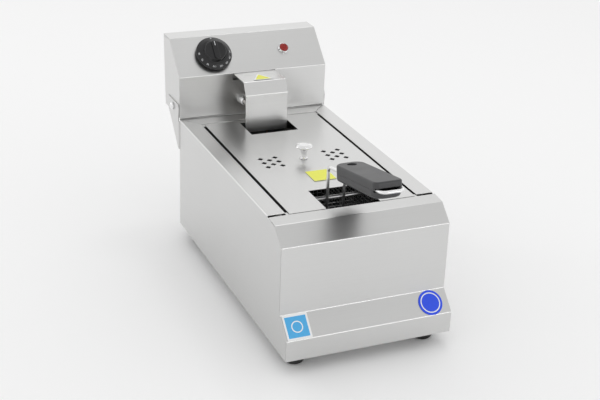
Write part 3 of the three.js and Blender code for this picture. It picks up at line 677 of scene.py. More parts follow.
    # -- finishing
    def finish(self, name: str, material: Material, body: str, slot: str,
               nodes: Sequence[str] = (), ease: float = 0.3) -> None:
        """Turns the piece into an object in metres that stands for CAD nodes.

        Args:
            name: the piece's name.
            material: its finish.
            body: the body it rides on.
            slot: the record's material slot; not used.
            nodes: the CAD nodes that it replaces.
            ease: width of the small rounding on sharp edges, 0 for none.
        """
        self.place(Matrix.Diagonal((MM, MM, MM, 1.0)))
        for face in self.bm.faces:
            face.smooth = True
        item = put(name, self.mesh(name))
        item.data.materials.append(material)
        if ease:
            rounding = item.modifiers.new("eased edges", "BEVEL")
            rounding.width = ease * MM
            rounding.segments = 2
            rounding.limit_method = "ANGLE"
            rounding.angle_limit = math.radians(32)
        shading = item.modifiers.new("flat faces", "WEIGHTED_NORMAL")
        shading.keep_sharp = True
        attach(item, body)
        if nodes:
            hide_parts(*nodes)


def folds(edges: Iterable[Edge]) -> list[Edge]:
    """Returns the edges that two faces share."""
    return [edge for edge in edges if len(edge.link_faces) == 2]


def route(points: Sequence[Sequence[float]], bend: float, segments: int = 8) -> list[Vector]:
    """Rounds the corners of an open path.

    Args:
        points: the path's corners.
        bend: the radius at each inner corner.
        segments: facets in each bend.

    Returns:
        The rounded path's points in order.
    """
    piece = Piece()
    verts = piece.chain(points)
    for vert in verts[1:-1]:
        piece.soften(vert, bend, segments)
    at, came = verts[0], None
    line = [at.co.copy()]
    while ahead := [edge for edge in at.link_edges if edge != came]:
        came = ahead[0]
        at = came.other_vert(at)
        line.append(at.co.copy())
    return line


def ring_path(x: float, front: float, rear: float, z: float, radius: float) -> list[Vector]:
    """Returns a closed rectangle with rounded corners, level at height z."""
    piece = Piece.face([(-x, front, z), (x, front, z), (x, rear, z), (-x, rear, z)])
    for vert in piece.bm.verts[:]:
        piece.soften(vert, radius, 6)
    piece.bm.faces.ensure_lookup_table()
    return [vert.co.copy() for vert in piece.bm.faces[0].verts]


def set_back(points: Sequence[Point], distance: float, bend: float) -> list[Point]:
    """Moves a profile inward, to the right of its direction of travel, and rounds its corners.

    Args:
        points: the profile's corners.
        distance: how far it moves.
        bend: the radius at each inner corner.

    Returns:
        The new profile's points.
    """
    line = [Vector(point) for point in points]
    moved = []
    for i, at in enumerate(line):
        before = (at - line[i - 1]).normalized() if i else (line[1] - at).normalized()
        after = (line[i + 1] - at).normalized() if i < len(line) - 1 else before
        across = Vector((before.y + after.y, -before.x - after.x)).normalized()
        moved.append(tuple(at + across * (distance / across.dot(Vector((before.y, -before.x))))))
    return [(at.y, at.z) for at in route([(0, y, z) for y, z in moved], bend)]


def dress(material: Material, *nodes: str) -> None:
    """Gives CAD nodes that stay a finished material."""
    for node in nodes:
        for slot in frame["nodes"][node].material_slots:
            slot.material = material


def dome_screw(radius: float, height: float, shank: float, length: float,
               recess: bool = True) -> Piece:
    """Makes a screw along Z with its head's underside at z = 0.

    Args:
        radius: the head's radius.
        height: the head's height.
        shank: the shank's radius.
        length: how far the shank reaches below the head.
        recess: whether the head has a cross recess.

    Returns:
        The screw.
    """
    screw = Piece.turned([
        (0, height, 0), (radius * 0.72, height, radius * 0.42), (radius, height * 0.34, radius * 0.2),
        (radius, 0, 0), (shank, 0, 0), (shank, -length, 0.3), (0, -length, 0),
    ], 40)
    if recess:
        arm, half, floor, top = radius * 0.5, radius * 0.11, height * 0.45, height + 1
        screw.carve(Piece.block((-arm, -half, floor), (arm, half, top)),
                    Piece.block((-half, -arm, floor), (half, arm, top)))
    return screw


def hole(radius: float, reach: float, turn: Matrix, x: float, y: float, z: float) -> Piece:
    """Returns a round cutter that reaches both ways from a point, along a turned Z."""
    return Piece.bar(radius, -reach, reach).place(Matrix.Translation((x, y, z)) @ turn)


def round_z(make: Callable[[], Piece], count: int, out: float = 0.0) -> list[Piece]:
    """Returns copies of a piece, moved out along X and then turned evenly round Z."""
    moved = Matrix.Translation((out, 0, 0))
    turns = [Matrix.Rotation(step * math.tau / count, 4, "Z") for step in range(count)]
    return [make().place(turn @ moved) for turn in turns]


UP_TO_X = Matrix.Rotation(math.pi / 2, 4, "Y")
UP_TO_BACK = Matrix.Rotation(-math.pi / 2, 4, "X")
UP_TO_FRONT = Matrix.Rotation(math.pi / 2, 4, "X")
OVER = Matrix.Rotation(math.pi, 4, "X")


# ---- casing
@dataclass
class Casing:
    """The folded box: front, side and rear panels, tank, floor and feet."""

    finishes: Finishes
    sheet: float = 1.2
    bend: float = 2.4
    seam: float = 1.3
    strip: float = 28.0
    rear_strip: float = 30.0
    slot: float = 6.5
    ledge: float = 10.5
    ledge_from: float = 50.0
    mitre_gap: float = 0.3
    tank_flange: float = 14.0
    tank_corner: float = 12.0
    foot_bolt_z: float = 9.6
    # the front panel from its foot up to the deck: back from the toe, and up from the worktop
    profile: tuple[tuple[float, float], ...] = (
        (0, 22), (0, 55.5), (28.3, 83.2), (29.5, 191), (56, 214.8), (80, 217.5),
    )

    def __post_init__(self) -> None:
        """Reads the casing's edges from the frame."""
        front, rear = Box.of("front_panel"), Box.of("rear_panel")
        self.half = front.high.x
        self.toe = front.low.y
        self.deck = front.high.z
        self.rear = rear.high.y
        self.foot_edge = front.low.z
        self.outer = [(self.toe + back, up) for back, up in self.profile]
        self.inner = self.half - self.strip
        self.under = self.deck - self.sheet - self.mitre_gap

    def build(self) -> None:
        """Makes every piece of the casing."""
        self.front_panel()
        for name, side in SIDES:
            self.side_panel(name, side)
        self.rear_panel()
        self.tank()
        self.feet()
        dress(self.finishes.across, "bottom_plate")

    def front_panel(self) -> None:
        """Folds the front panel, with its lip and two ledges under the deck."""
        steel = [(y, z, self.bend) for y, z in self.outer]
        panel = Piece.folded(steel, -self.half, self.half, self.sheet)
        edge, inner, floor = self.outer[-1][0], self.inner, self.under - self.sheet
        panel.join(Piece.block((-inner, edge - self.sheet, floor), (inner, edge, self.deck - 0.5)))
        for _, side in SIDES:
            tab = Piece.block((self.ledge_from, edge, floor), (inner, edge + self.ledge, self.under))
            panel.join(tab.to_side(side))
        panel.finish("folded_front", self.finishes.across, "casing", "satin_steel", ["front_panel"])

    def side_panel(self, name: str, side: int) -> None:
        """Folds one side panel: a wall that follows the front's outline, and a deck strip."""
        behind = set_back(self.outer, self.sheet + self.seam, self.bend)
        strip_front = self.outer[-1][0] + self.slot
        corners = [*behind, (strip_front, behind[-1][1]), (strip_front, self.deck),
                   (self.rear, self.deck), (self.rear, self.foot_edge)]
        wall = Piece.face([(self.half, y, z) for y, z in corners])
        front_end, rear_end = wall.bm.verts[:][-3:-1]
        ends = (self.rear - self.rear_strip - self.mitre_gap, strip_front)
        far = [wall.bm.verts.new((self.inner, y, self.deck)) for y in ends]
        strip_face = wall.bm.faces.new([rear_end, *far, front_end])
        bmesh.ops.recalc_face_normals(wall.bm, faces=wall.bm.faces[:])
        wall.face_along(strip_face, 2)
        wall.bend(folds(wall.bm.edges), self.bend * 0.8)
        wall.thicken(self.sheet).to_side(side)
        wall.finish(f"folded_{name}_side", self.finishes.lengthwise, "casing", "satin_steel",
                    [f"{name}_side_panel"], 0.5)

    def rear_panel(self) -> None:
        """Folds the rear panel: a wall, a mitred deck strip, and a ledge that steps down for the lid."""
        half, edge = Box.of("rear_panel").high.x, self.rear - self.rear_strip
        piece = Piece()
        rows = [
            (half, self.rear, self.foot_edge), (half, self.rear, self.deck), (self.inner, edge, self.deck),
            (self.inner, edge, self.under), (self.inner, edge - self.ledge, self.under),
        ]
        pairs = [[piece.bm.verts.new((s * x, y, z)) for s in (1, -1)] for x, y, z in rows]
        for (a, b), (c, d) in zip(pairs, pairs[1:]):
            piece.bm.faces.new((a, c, d, b))
        piece.face_along(piece.bm.faces[:][1], 2)
        left, right = pairs[1]
        piece.bend([edge for edge in left.link_edges if edge.other_vert(left) == right], self.bend * 0.8)
        piece.thicken(self.sheet)
        piece.finish("folded_rear", self.finishes.across, "casing", "satin_steel", ["rear_panel"])

    def tank(self) -> None:
        """Draws the oil tank: a deep well with rounded corners under a flat flange."""
        box = Box.of("oil_tank")
        x = box.high.x - self.tank_flange
        front, rear = box.low.y + self.sheet, box.high.y - self.tank_flange
        piece = Piece.block((-x, front, box.low.z + self.sheet), (x, rear, box.high.z))
        top = max(piece.bm.faces, key=lambda face: face.calc_center_median().z)
        bmesh.ops.delete(piece.bm, geom=[top], context="FACES_ONLY")
        uprights = [e for e in piece.bm.edges if abs(e.verts[0].co.z - e.verts[1].co.z) > 1]
        piece.bevel(uprights, self.tank_corner, 8)
        floor = [e for e in folds(piece.bm.edges) if max(v.co.z for v in e.verts) < box.low.z + 2]
        piece.bevel(floor, self.tank_corner / 2, 5)
        rim = [edge for edge in piece.bm.edges if len(edge.link_faces) == 1]
        for vert in piece.grow(rim, (0, 0, 0)):
            share = (vert.co.y - front) / (rear - front)
            vert.co.x *= box.high.x / x
            vert.co.y = box.low.y + share * (box.high.y - box.low.y)
        bmesh.ops.recalc_face_normals(piece.bm, faces=piece.bm.faces[:])
        piece.face_along(min(piece.bm.faces, key=lambda face: face.calc_center_median().z), 2)
        piece.thicken(self.sheet)
        # The tank's darkened steel is painted shade for its shaded inside.
        piece.finish("pressed_tank", self.finishes.tank, "casing", "tank_steel", ["oil_tank"], ease=0.2)

    def feet(self) -> None:
        """Turns the four rubber feet and their screws."""
        for end in ("front", "rear"):
            for name, _ in SIDES:
                node = f"{end}_{name}_foot"
                x, y, _ = Box.of(node).centre
                top = Box.of(node).high.z
                foot = Piece.turned([
                    (3, 10, 0), (6.2, 10, 0.4), (6.2, 0, 0.6), (12.6, 0, 1.5), (15.6, 2.4, 5.0),
                    (17.3, 9, 4.0), (17.3, top, 0.6), (3, top, 0),
                ], closed=True).move(x, y, 0)
                foot.finish(f"{end}_{name}_rubber_foot", self.finishes.foot, "casing", "foot_rubber",
                            [node], 0)
                screw = dome_screw(4.8, 3.0, 2.5, 24.0)
                screw.place(Matrix.Translation((x, y, self.foot_bolt_z)) @ OVER)
                screw.finish(f"{end}_{name}_foot_bolt", self.finishes.polished, "casing", "polished_steel",
                             [f"{node}_screw"], 0.1)


@dataclass
class Hinge:
    """The two brackets that the head tilts on, with their screws."""

    finishes: Finishes
    thickness: float = 2.0
    bend: float = 2.6
    flange_height: float = 51.0
    pivot_hole: float = 4.2
    screw_hole: float = 2.6
    pivot_dome: float = 4.4

    def build(self) -> None:
        """Makes both sides' brackets and screws."""
        for name, side in SIDES:
            self.bracket(name, side)
            self.screws(name, side)
        dress(self.finishes.polished, "left_pivot_nut", "right_pivot_nut")

    def bracket(self, name: str, side: int) -> None:
        """Folds one bracket: an upright blade and a flange against the rear panel."""
        box = Box.of("right_hinge_bracket")
        pivot = Box.of("right_pivot_screw").centre
        x, y, foot = box.high.x, box.low.y, box.low.z
        flange_top = foot + self.flange_height
        blade = [
            (y, foot), (y, flange_top), (y, box.high.z - 7.3), (y + 4.2, box.high.z),
            (box.high.y - 1.6, box.high.z), (box.high.y, box.high.z - 2.3), (box.high.y - 6.6, foot + 57.9),
            (box.high.y - 19.9, foot + 45.2),
        ]
        piece = Piece.face([(x, at, z) for at, z in blade])
        lower, upper = piece.bm.verts[:][:2]
        flange = [piece.bm.verts.new((box.low.x, y, z)) for z in (foot, flange_top)]
        piece.bm.faces.new((upper, lower, *flange))
        bmesh.ops.recalc_face_normals(piece.bm, faces=piece.bm.faces[:])
        piece.face_along(max(piece.bm.faces, key=lambda face: len(face.verts)), 0)
        piece.bend(folds(piece.bm.edges), self.bend)
        piece.thicken(self.thickness)
        holes = [hole(self.pivot_hole, 6, UP_TO_X, x, pivot.y, pivot.z)]
        for at in ("lower", "upper"):
            place = Box.of(f"right_bracket_{at}_screw").centre
            holes.append(hole(self.screw_hole, 6, UP_TO_BACK, place.x, y + 1, place.z))
        piece.carve(*holes).to_side(side)
        piece.finish(f"{name}_bracket", self.finishes.upright, "casing", "satin_steel",
                     [f"{name}_hinge_bracket"])

    def screws(self, name: str, side: int) -> None:
        """Turns the flange screws and the domed pivot screw of one side."""
        for at in ("lower", "upper"):
            node = f"{name}_bracket_{at}_screw"
            box = Box.of(node)
            screw = dome_screw(4.2, 2.4, 2.3, 1.6)
            screw.place(Matrix.Translation((box.centre.x, box.high.y - 2.4, box.centre.z)) @ UP_TO_BACK)
            screw.finish(f"{name}_{at}_flange_screw", self.finishes.polished, "casing", "polished_steel",
                         [node], 0.1)
        box = Box.of("right_pivot_screw")
        under = box.high.x - self.pivot_dome
        screw = dome_screw(6.5, self.pivot_dome, 3.8, under - box.low.x, recess=False)
        screw.place(Matrix.Translation((under, box.centre.y, box.centre.z)) @ UP_TO_X).to_side(side)
        screw.finish(f"{name}_pivot_dome", self.finishes.polished, "casing", "polished_steel",
                     [f"{name}_pivot_screw"], 0.15)


# ---- control head
@dataclass
class ControlHead:
    """The tilting head: its sheets, the hood over the element, and what stands on it."""

    finishes: Finishes
    sheet: float = 1.2
    bend: float = 2.4
    seam: float = 0.8
    fold_z: float = 292.5
    crown_back: float = 56.4
    back_lean: float = 8.6
    hood_sheet: float = 1.5
    hood_slot: tuple[float, float] = (279.0, 291.8)
    port_z: float = 246.0
    gland_ribs: int = 24
    pivot_hole: float = 4.2

    def __post_init__(self) -> None:
        """Reads the head's edges from the frame."""
        cover, back = Box.of("head_cover"), Box.of("head_back")
        self.half = cover.high.x
        self.foot, self.top = cover.low.z, cover.high.z
        self.front, self.crown_rear = cover.low.y, cover.high.y
        self.crown_front = self.front + self.crown_back
        self.foot_rear = back.high.y - self.back_lean
        self.outer = [(self.front, self.foot), (self.front, self.fold_z), (self.crown_front, self.top),
                      (self.crown_rear, self.top)]

    def build(self) -> None:
        """Makes every piece of the head."""
        self.cover()
        for name, side in SIDES:
            self.cheek(name, side)
            self.element_nut(name)
        self.back()
        self.hood()
        self.gland()
        self.reset()
        dress(self.finishes.ceramic, "thermostat_body", "lamp_body", "limit_thermostat", "terminal_block")

    def cover(self) -> None:
        """Folds the cover and cuts the hood's slot and the holes in it."""
        piece = Piece.folded([(y, z, self.bend) for y, z in self.outer], -self.half, self.half, self.sheet)
        hood, nut = Box.of("element_hood"), Box.of("right_element_nut").centre
        bulb = Box.of("sensing_bulb").centre
        half, (foot, top) = hood.high.x + 1.5, self.hood_slot
        holes = [Piece.block((-half, self.front - 5, foot), (half, self.front + 5, top))]
        for x, radius in ((nut.x, 5.4), (-nut.x, 5.4), (bulb.x, 2.2)):
            holes.append(hole(radius, 6, UP_TO_BACK, x, self.front, nut.z))
        for node, radius in (("thermostat_spindle", 4.4), ("lamp_lens", 6.4)):
            holes.append(Piece.bar(radius, -8, 8).place(console_frame(node)))
        piece.carve(*holes)
        piece.finish("folded_head_cover", self.finishes.across, "head", "satin_steel", ["head_cover"])

    def cheek(self, name: str, side: int) -> None:
        """Cuts one side plate of the head, a seam inside the cover's edge."""
        behind = set_back(self.outer, self.sheet + self.seam, self.bend)
        outline = [*behind, (self.crown_rear, self.top - self.sheet - self.seam), (self.foot_rear, self.foot)]
        plate = Piece.plate([(y, z, 0) for y, z in outline], self.sheet)
        pivot = Box.of("right_pivot_screw").centre
        plate.place(Matrix(((0, 0, 1, self.half), (1, 0, 0, 0), (0, 1, 0, 0), (0, 0, 0, 1))))
        plate.carve(hole(self.pivot_hole, 6, UP_TO_X, self.half, pivot.y, pivot.z)).to_side(side)
        plate.finish(f"{name}_cheek", self.finishes.upright, "head", "satin_steel", [f"{name}_head_side"])

    def back(self) -> None:
        """Folds the head's back and floor, with the holes for the gland and the reset button."""
        box = Box.of("head_back")
        lip = box.low.y + self.sheet
        profile = [(box.high.y, box.high.z, 0), (self.foot_rear - 0.4, self.foot, self.bend),
                   (lip, self.foot, self.bend * 0.6), (lip, box.low.z, 0)]
        piece = Piece.folded(profile, box.low.x, box.high.x, self.sheet)
        piece.carve(*(
            hole(radius, 12, UP_TO_BACK, Box.of(node).centre.x, self.foot_rear + 2, self.port_z)
            for node, radius in (("cable_gland", 8.2), ("reset_button", 6.2))
        ))
        piece.finish("folded_head_back", self.finishes.across, "head", "satin_steel", ["head_back"])

    def hood(self) -> None:
        """Bends the strip that shields the element where it drops into the tank."""
        box = Box.of("element_hood")
        nose = box.low.y + 14.0
        profile = [
            (box.low.y, box.low.z, 0), (box.low.y + 2.6, box.high.z - 20.4, 3.0), (nose, box.high.z, 3.0),
            (box.high.y, box.high.z, 2.4), (box.high.y, box.high.z - 22, 0),
        ]
        piece = Piece.folded(profile, box.low.x, box.high.x, self.hood_sheet)
        piece.finish("bent_hood", self.finishes.across, "head", "satin_steel", ["element_hood"])

    def element_nut(self, name: str) -> None:
        """Makes one of the domed nuts that hold the element in the head's face."""
        node = f"{name}_element_nut"
        box = Box.of(node)
        bore = 4.5
        hexagon = Piece.bar(8.4, 0.3, 5.8, 6)
        dome = Piece.turned([
            (bore, 5.6, 0), (7.6, 5.6, 0), (7.6, 8.6, 3.0), (6.4, 11.4, 3.0), (bore, 12.6, 0.4),
        ], 40, closed=True)
        hexagon.carve(Piece.bar(bore, -2, 12)).join(dome)
        hexagon.place(Matrix.Translation((box.centre.x, self.front, box.centre.z)) @ UP_TO_FRONT)
        hexagon.finish(f"{name}_domed_nut", self.finishes.polished, "head", "polished_steel", [node], 0.35)

    def gland(self) -> None:
        """Turns the cable gland, square to the leaning back."""
        box = Box.of("cable_gland")
        lean = math.atan2(self.crown_rear - self.foot_rear, self.top - self.foot)
        profile = [
            (5, -10, 0), (7.6, -10, 0.4), (7.6, 1, 0), (11, 1, 0.6), (11, 8, 0.8), (9, 9, 0.5), (8, 17, 1.5),
            (5, 17, 0.6),
        ]
        piece = Piece.turned(profile, 48, closed=True)
        piece.carve(*round_z(lambda: Piece.block((-0.5, 10.6, 2), (0.5, 12, 7)), self.gland_ribs))
        middle = Vector((box.centre.x, self.foot_rear + 2.1, self.port_z))
        piece.place(Matrix.Translation(middle) @ Matrix.Rotation(lean, 4, "X") @ UP_TO_BACK)
        piece.finish("ribbed_gland", self.finishes.gland, "head", "gland_rubber", ["cable_gland"], 0)

    def reset(self) -> None:
        """Turns the overheat reset button."""
        box = Box.of("reset_button")
        length = box.high.y - box.low.y
        piece = Piece.turned([(0, 0, 0), (4.6, 0, 0.3), (4.6, length, 1.2), (0, length, 0)], 40)
        piece.place(Matrix.Translation((box.centre.x, box.low.y, box.centre.z)) @ UP_TO_BACK)
        piece.finish("reset_plunger", self.finishes.button, "reset", "red_plastic", ["reset_button"], 0)


def axes(origin: Vector, x: Vector, y: Vector, z: Vector) -> Matrix:
    """Returns the frame that stands at a point with the given axes."""
    return Matrix.Translation(origin) @ Matrix((x, y, z)).transposed().to_4x4()


def console_frame(node: str) -> Matrix:
    """Returns the frame of the dial's axis moved level to a node's x: X right, Y up the slope, Z outward."""
    joint = next(each for each in frame["joints"] if each["name"] == "dial_turn")
    pivot = Vector(joint["pos_m"]) / MM
    outward = -Vector(joint["axis"]).normalized()
    right = Vector((1, 0, 0))
    upward = outward.cross(right)
    lift = LAMP_ABOVE_DIAL if node == "lamp_lens" else 0.0
    origin = Vector((Box.of(node).centre.x, pivot.y, pivot.z)) + upward * lift
    return axes(origin, right, upward, outward)


@dataclass
class Dial:
    """The thermostat dial: a numbered skirt, a round body and a bar to turn it by."""

    finishes: Finishes
    radius: float = 31.5
    rim: float = 7.6
    cone_radius: float = 23.5
    cone_top: float = 12.6
    bar_half: tuple[float, float] = (4.7, 17.6)
    number_radius: float = 27.4
    number_height: float = 4.0
    temperatures: tuple[int, ...] = (50, 70, 90, 110, 130, 150, 170, 190)
    first_angle: float = 270.0
    last_angle: float = 90.0

    def build(self) -> None:
        """Makes the dial and its printing."""
        place = console_frame("control_dial")
        body = Piece.turned([
            (0, 5.6, 0), (self.radius, 5.6, 0.4), (self.radius, self.rim, 0.9),
            (self.cone_radius, self.cone_top, 3.0), (20.4, 13.0, 1.2), (18.4, 19.9, 1.8), (0, 20, 0),
        ], 96)
        x, y = self.bar_half
        bar = Piece.plate([(at_x, at_y, 3.4) for at_x, at_y in ((-x, -y), (x, -y), (x, y), (-x, y))], 11)
        bar.move(0, 0, 23)
        crest = [edge for edge in bar.bm.edges if all(vert.co.z > 22.9 for vert in edge.verts)]
        bar.bevel(crest, 1.6, 4)
        body.join(bar).place(place)
        body.finish("numbered_dial", self.finishes.dial, "dial", "dial_black", ["control_dial"], 0.2)
        marks = Piece.bar(1.15, 0, 0.1, 24).move(0, self.number_radius, self.height(self.number_radius))
        marks.join(Piece.block((-0.45, 7.0, 22.9), (0.45, 15.4, 23.08)))
        span = self.last_angle - self.first_angle
        for step, number in enumerate(self.temperatures):
            angle = self.first_angle + span * step / (len(self.temperatures) - 1)
            marks.join(self.numeral(str(number), math.radians(angle)))
        marks.place(place)
        marks.finish("dial_numbers", self.finishes.marks, "dial", "dial_black", (), 0)
        dress(self.finishes.polished, "thermostat_spindle")

    def height(self, radius: float) -> float:
        """Returns the skirt's height at a radius."""
        share = (self.radius - radius) / (self.radius - self.cone_radius)
        return self.rim + share * (self.cone_top - self.rim)

    def numeral(self, text: str, angle: float) -> Piece:
        """Wraps one number onto the skirt.

        Args:
            text: the number.
            angle: its place, clockwise from the top, in radians.

        Returns:
            The raised number.
        """
        piece = Piece.lettering(text, self.number_height, 0.06)
        for vert in piece.bm.verts:
            x, y, z = vert.co
            turn = angle + x / self.number_radius
            radius = self.number_radius + y * 0.85
            vert.co = (radius * math.sin(turn), radius * math.cos(turn), self.height(radius) + z + 0.05)
        return piece


@dataclass
class Lamp:
    """The pilot lamp: a conical bright bezel round a red lens."""

    finishes: Finishes
    facets: int = 10

    def build(self) -> None:
        """Makes the bezel and the lens."""
        place = console_frame("lamp_lens")
        bezel = Piece.turned([
            (6.1, 0.3, 0), (10.2, 0.3, 0.2), (10.2, 2.0, 0.5), (8.5, 4.6, 0.5), (7.9, 4.6, 0.2),
            (7.9, 2.2, 0), (6.1, 2.2, 0),
        ], 64, closed=True).place(place)
        bezel.finish("bright_bezel", self.finishes.polished, "head", "polished_steel", ["lamp_bezel"], 0)
        lens = Piece.turned([
            (0, 0.4, 0), (5.7, 0.4, 0), (5.7, 2.5, 0), (7.6, 2.5, 0), (7.6, 4.6, 1.0), (5.4, 7.2, 2.6),
            (0, 7.7, 0),
        ], 64)
        facets = round_z(lambda: Piece.block((-0.16, 1.2, 7.0), (0.16, 4.6, 9)), self.facets)
        lens.carve(*facets).place(place)
        lens.finish("red_lens", self.finishes.lens, "head", "red_lens", ["lamp_lens"], 0)


# ---- element, guard and bulb
@dataclass
class Element:
    """The sheathed heating element, the guard grid over it and the temperature bulb."""

    finishes: Finishes
    radius: float = 4.2
    exit_x: float = 20.5
    inner_x: float = 22.0
    spread_z: float = 208.0
    fall: float = 14.0
    drop: float = 72.0
    fold_back: float = 103.0
    pitch: float = 28.0
    wire: float = 1.5

    def build(self) -> None:
        """Makes the three."""
        self.element()
        self.grid()
        self.bulb()

    def element(self) -> None:
        """Bends the element: out of the head, down, spread wide and folded along the tank's floor."""
        box = Box.of("heating_element")
        exit_z = Box.of("left_element_nut").centre.z
        wide = box.high.x - self.radius
        low, front = box.low.z + self.radius, box.low.y + self.radius
        inside, drop, back = box.high.y, box.high.y - self.drop, box.high.y - self.fold_back
        half = [
            (self.exit_x, inside, exit_z), (self.exit_x, drop, exit_z), (self.exit_x, drop, self.spread_z),
            (wide, drop, self.spread_z - self.fall), (wide, drop, low), (wide, front, low),
            (self.inner_x, front, low), (self.inner_x, back, low),
        ]
        path = route(half + [(-x, y, z) for x, y, z in reversed(half)], 13.0, 10)
        tube = Piece.tube([path], self.radius, 20)
        tube.finish("bent_element", self.finishes.element, "head", "element_steel", ["heating_element"], 0)

    def grid(self) -> None:
        """Lays the guard grid's wires."""
        box = Box.of("guard_grid")
        z = box.centre.z
        reach = box.high.x - self.wire
        front, rear = box.low.y + self.wire, box.high.y - self.wire
        count = round(reach / self.pitch)
        columns = [step * self.pitch for step in range(-count, count + 1)]
        lengthwise = [[(x, y, z) for y in (box.low.y, box.high.y)] for x in columns]
        across = [[(-box.high.x, y, z), (box.high.x, y, z)] for y in (front, (front + rear) / 2, rear)]
        grid = Piece.tube(lengthwise + across, self.wire - 0.1, 10)
        grid.finish("wire_guard", self.finishes.wire, "head", "wire_steel", ["guard_grid"], 0)

    def bulb(self) -> None:
        """Bends the capillary down to the temperature bulb."""
        box = Box.of("sensing_bulb")
        x, y = box.centre.x, box.low.y + 3
        top = Box.of("left_element_nut").centre.z
        line = route([(x, box.high.y, top), (x, y, top), (x, y, box.low.z + 60)], 8.0)
        bulb = Piece.turned([
            (0, 0, 0), (3, 0, 1.6), (3, 58, 1.0), (1.3, 62, 0.4), (0, 62, 0),
        ], 32).move(x, y, box.low.z)
        bulb.join(Piece.tube([line], 1.2, 10))
        bulb.finish("bulb_and_capillary", self.finishes.copper, "head", "copper_tube",
                    ["sensing_bulb"], 0)


# ---- lid
@dataclass
class Lid:
    """The drop-in lid with its vents, and the bright knob to lift it by."""

    finishes: Finishes
    sheet: float = 1.2
    lip_short: float = 13.0
    cutout: float = 42.0
    cutout_depth: float = 66.5
    notch: float = 44.0
    notch_depth: float = 67.0
    vent: float = 5.1
    vent_x: float = 55.0
    vent_step: tuple[float, float] = (12.3, 17.2)
    flute: float = 2.2
    flutes: int = 12
    flute_out: float = 15.3

    def build(self) -> None:
        """Makes the plate, the knob and its screw."""
        self.plate()
        self.knob()

    def plate(self) -> None:
        """Cuts and folds the plate, and punches its vents."""
        box = Box.of("lid_plate")
        x, front, rear, top = box.high.x, box.low.y, box.high.y, box.high.z
        cut, notch = rear - self.cutout_depth, front + self.notch_depth
        right = [
            (self.notch, notch), (self.notch, front), (x, front), (x, front + self.lip_short),
            (x, rear - self.lip_short), (x, rear), (self.cutout, rear), (self.cutout, cut),
        ]
        outline = right + [(-across, y) for across, y in reversed(right)]
        piece = Piece.face([(across, y, top) for across, y in outline])
        piece.face_along(piece.bm.faces[:][0], 2)
        sides = [
            edge for edge in piece.bm.edges
            if all(abs(vert.co.x) > x - 0.1 for vert in edge.verts) and edge.calc_length() > 100
        ]
        piece.grow(sides, (0, 0, box.low.z - top))
        piece.thicken(self.sheet)
        knob = Box.of("lid_knob").centre
        holes = Piece.bar(2.4, top - 5, top + 5).move(knob.x, knob.y, 0)
        for _, side in SIDES:
            for column in (-1, 0, 1):
                for row in (-1, 0, 1) if column else (-0.5, 0.5):
                    x = side * self.vent_x + column * self.vent_step[0]
                    y = knob.y + 0.5 + row * self.vent_step[1]
                    holes.join(Piece.bar(self.vent, top - 5, top + 5, 4).move(x, y, 0))
        piece.carve(holes)
        piece.finish("pressed_lid", self.finishes.lengthwise, "lid", "satin_steel", ["lid_plate"], 0.35)

    def knob(self) -> None:
        """Turns the flared knob, and the screw that holds it from below."""
        box = Box.of("lid_knob")
        middle, base = box.centre, Box.of("lid_plate").high.z
        knob = Piece.turned([
            (0, 0.3, 0), (6.6, 0.3, 0.2), (6.6, 1.8, 0.6), (4.7, 3.4, 0.8), (4.3, 9.5, 6.0), (7.0, 16.2, 5.0),
            (12.8, 19.4, 1.2), (13.6, 20.9, 0.7), (12.8, 22.4, 1.2), (7.5, 24.0, 8.0), (0, 24.2, 0),
        ], 72)
        flutes = round_z(lambda: Piece.bar(self.flute, 17.5, 26.0, 24), self.flutes, self.flute_out)
        knob.carve(*flutes).move(middle.x, middle.y, base)
        knob.finish("flared_knob", self.finishes.polished, "lid", "polished_steel", ["lid_knob"], 0.25)
        screw = dome_screw(4.2, 2.6, 1.8, 11.0)
        screw.place(Matrix.Translation((middle.x, middle.y, base - self.sheet - 0.3)) @ OVER)
        screw.finish("knob_fixing", self.finishes.polished, "lid", "polished_steel", ["lid_knob_screw"], 0.1)


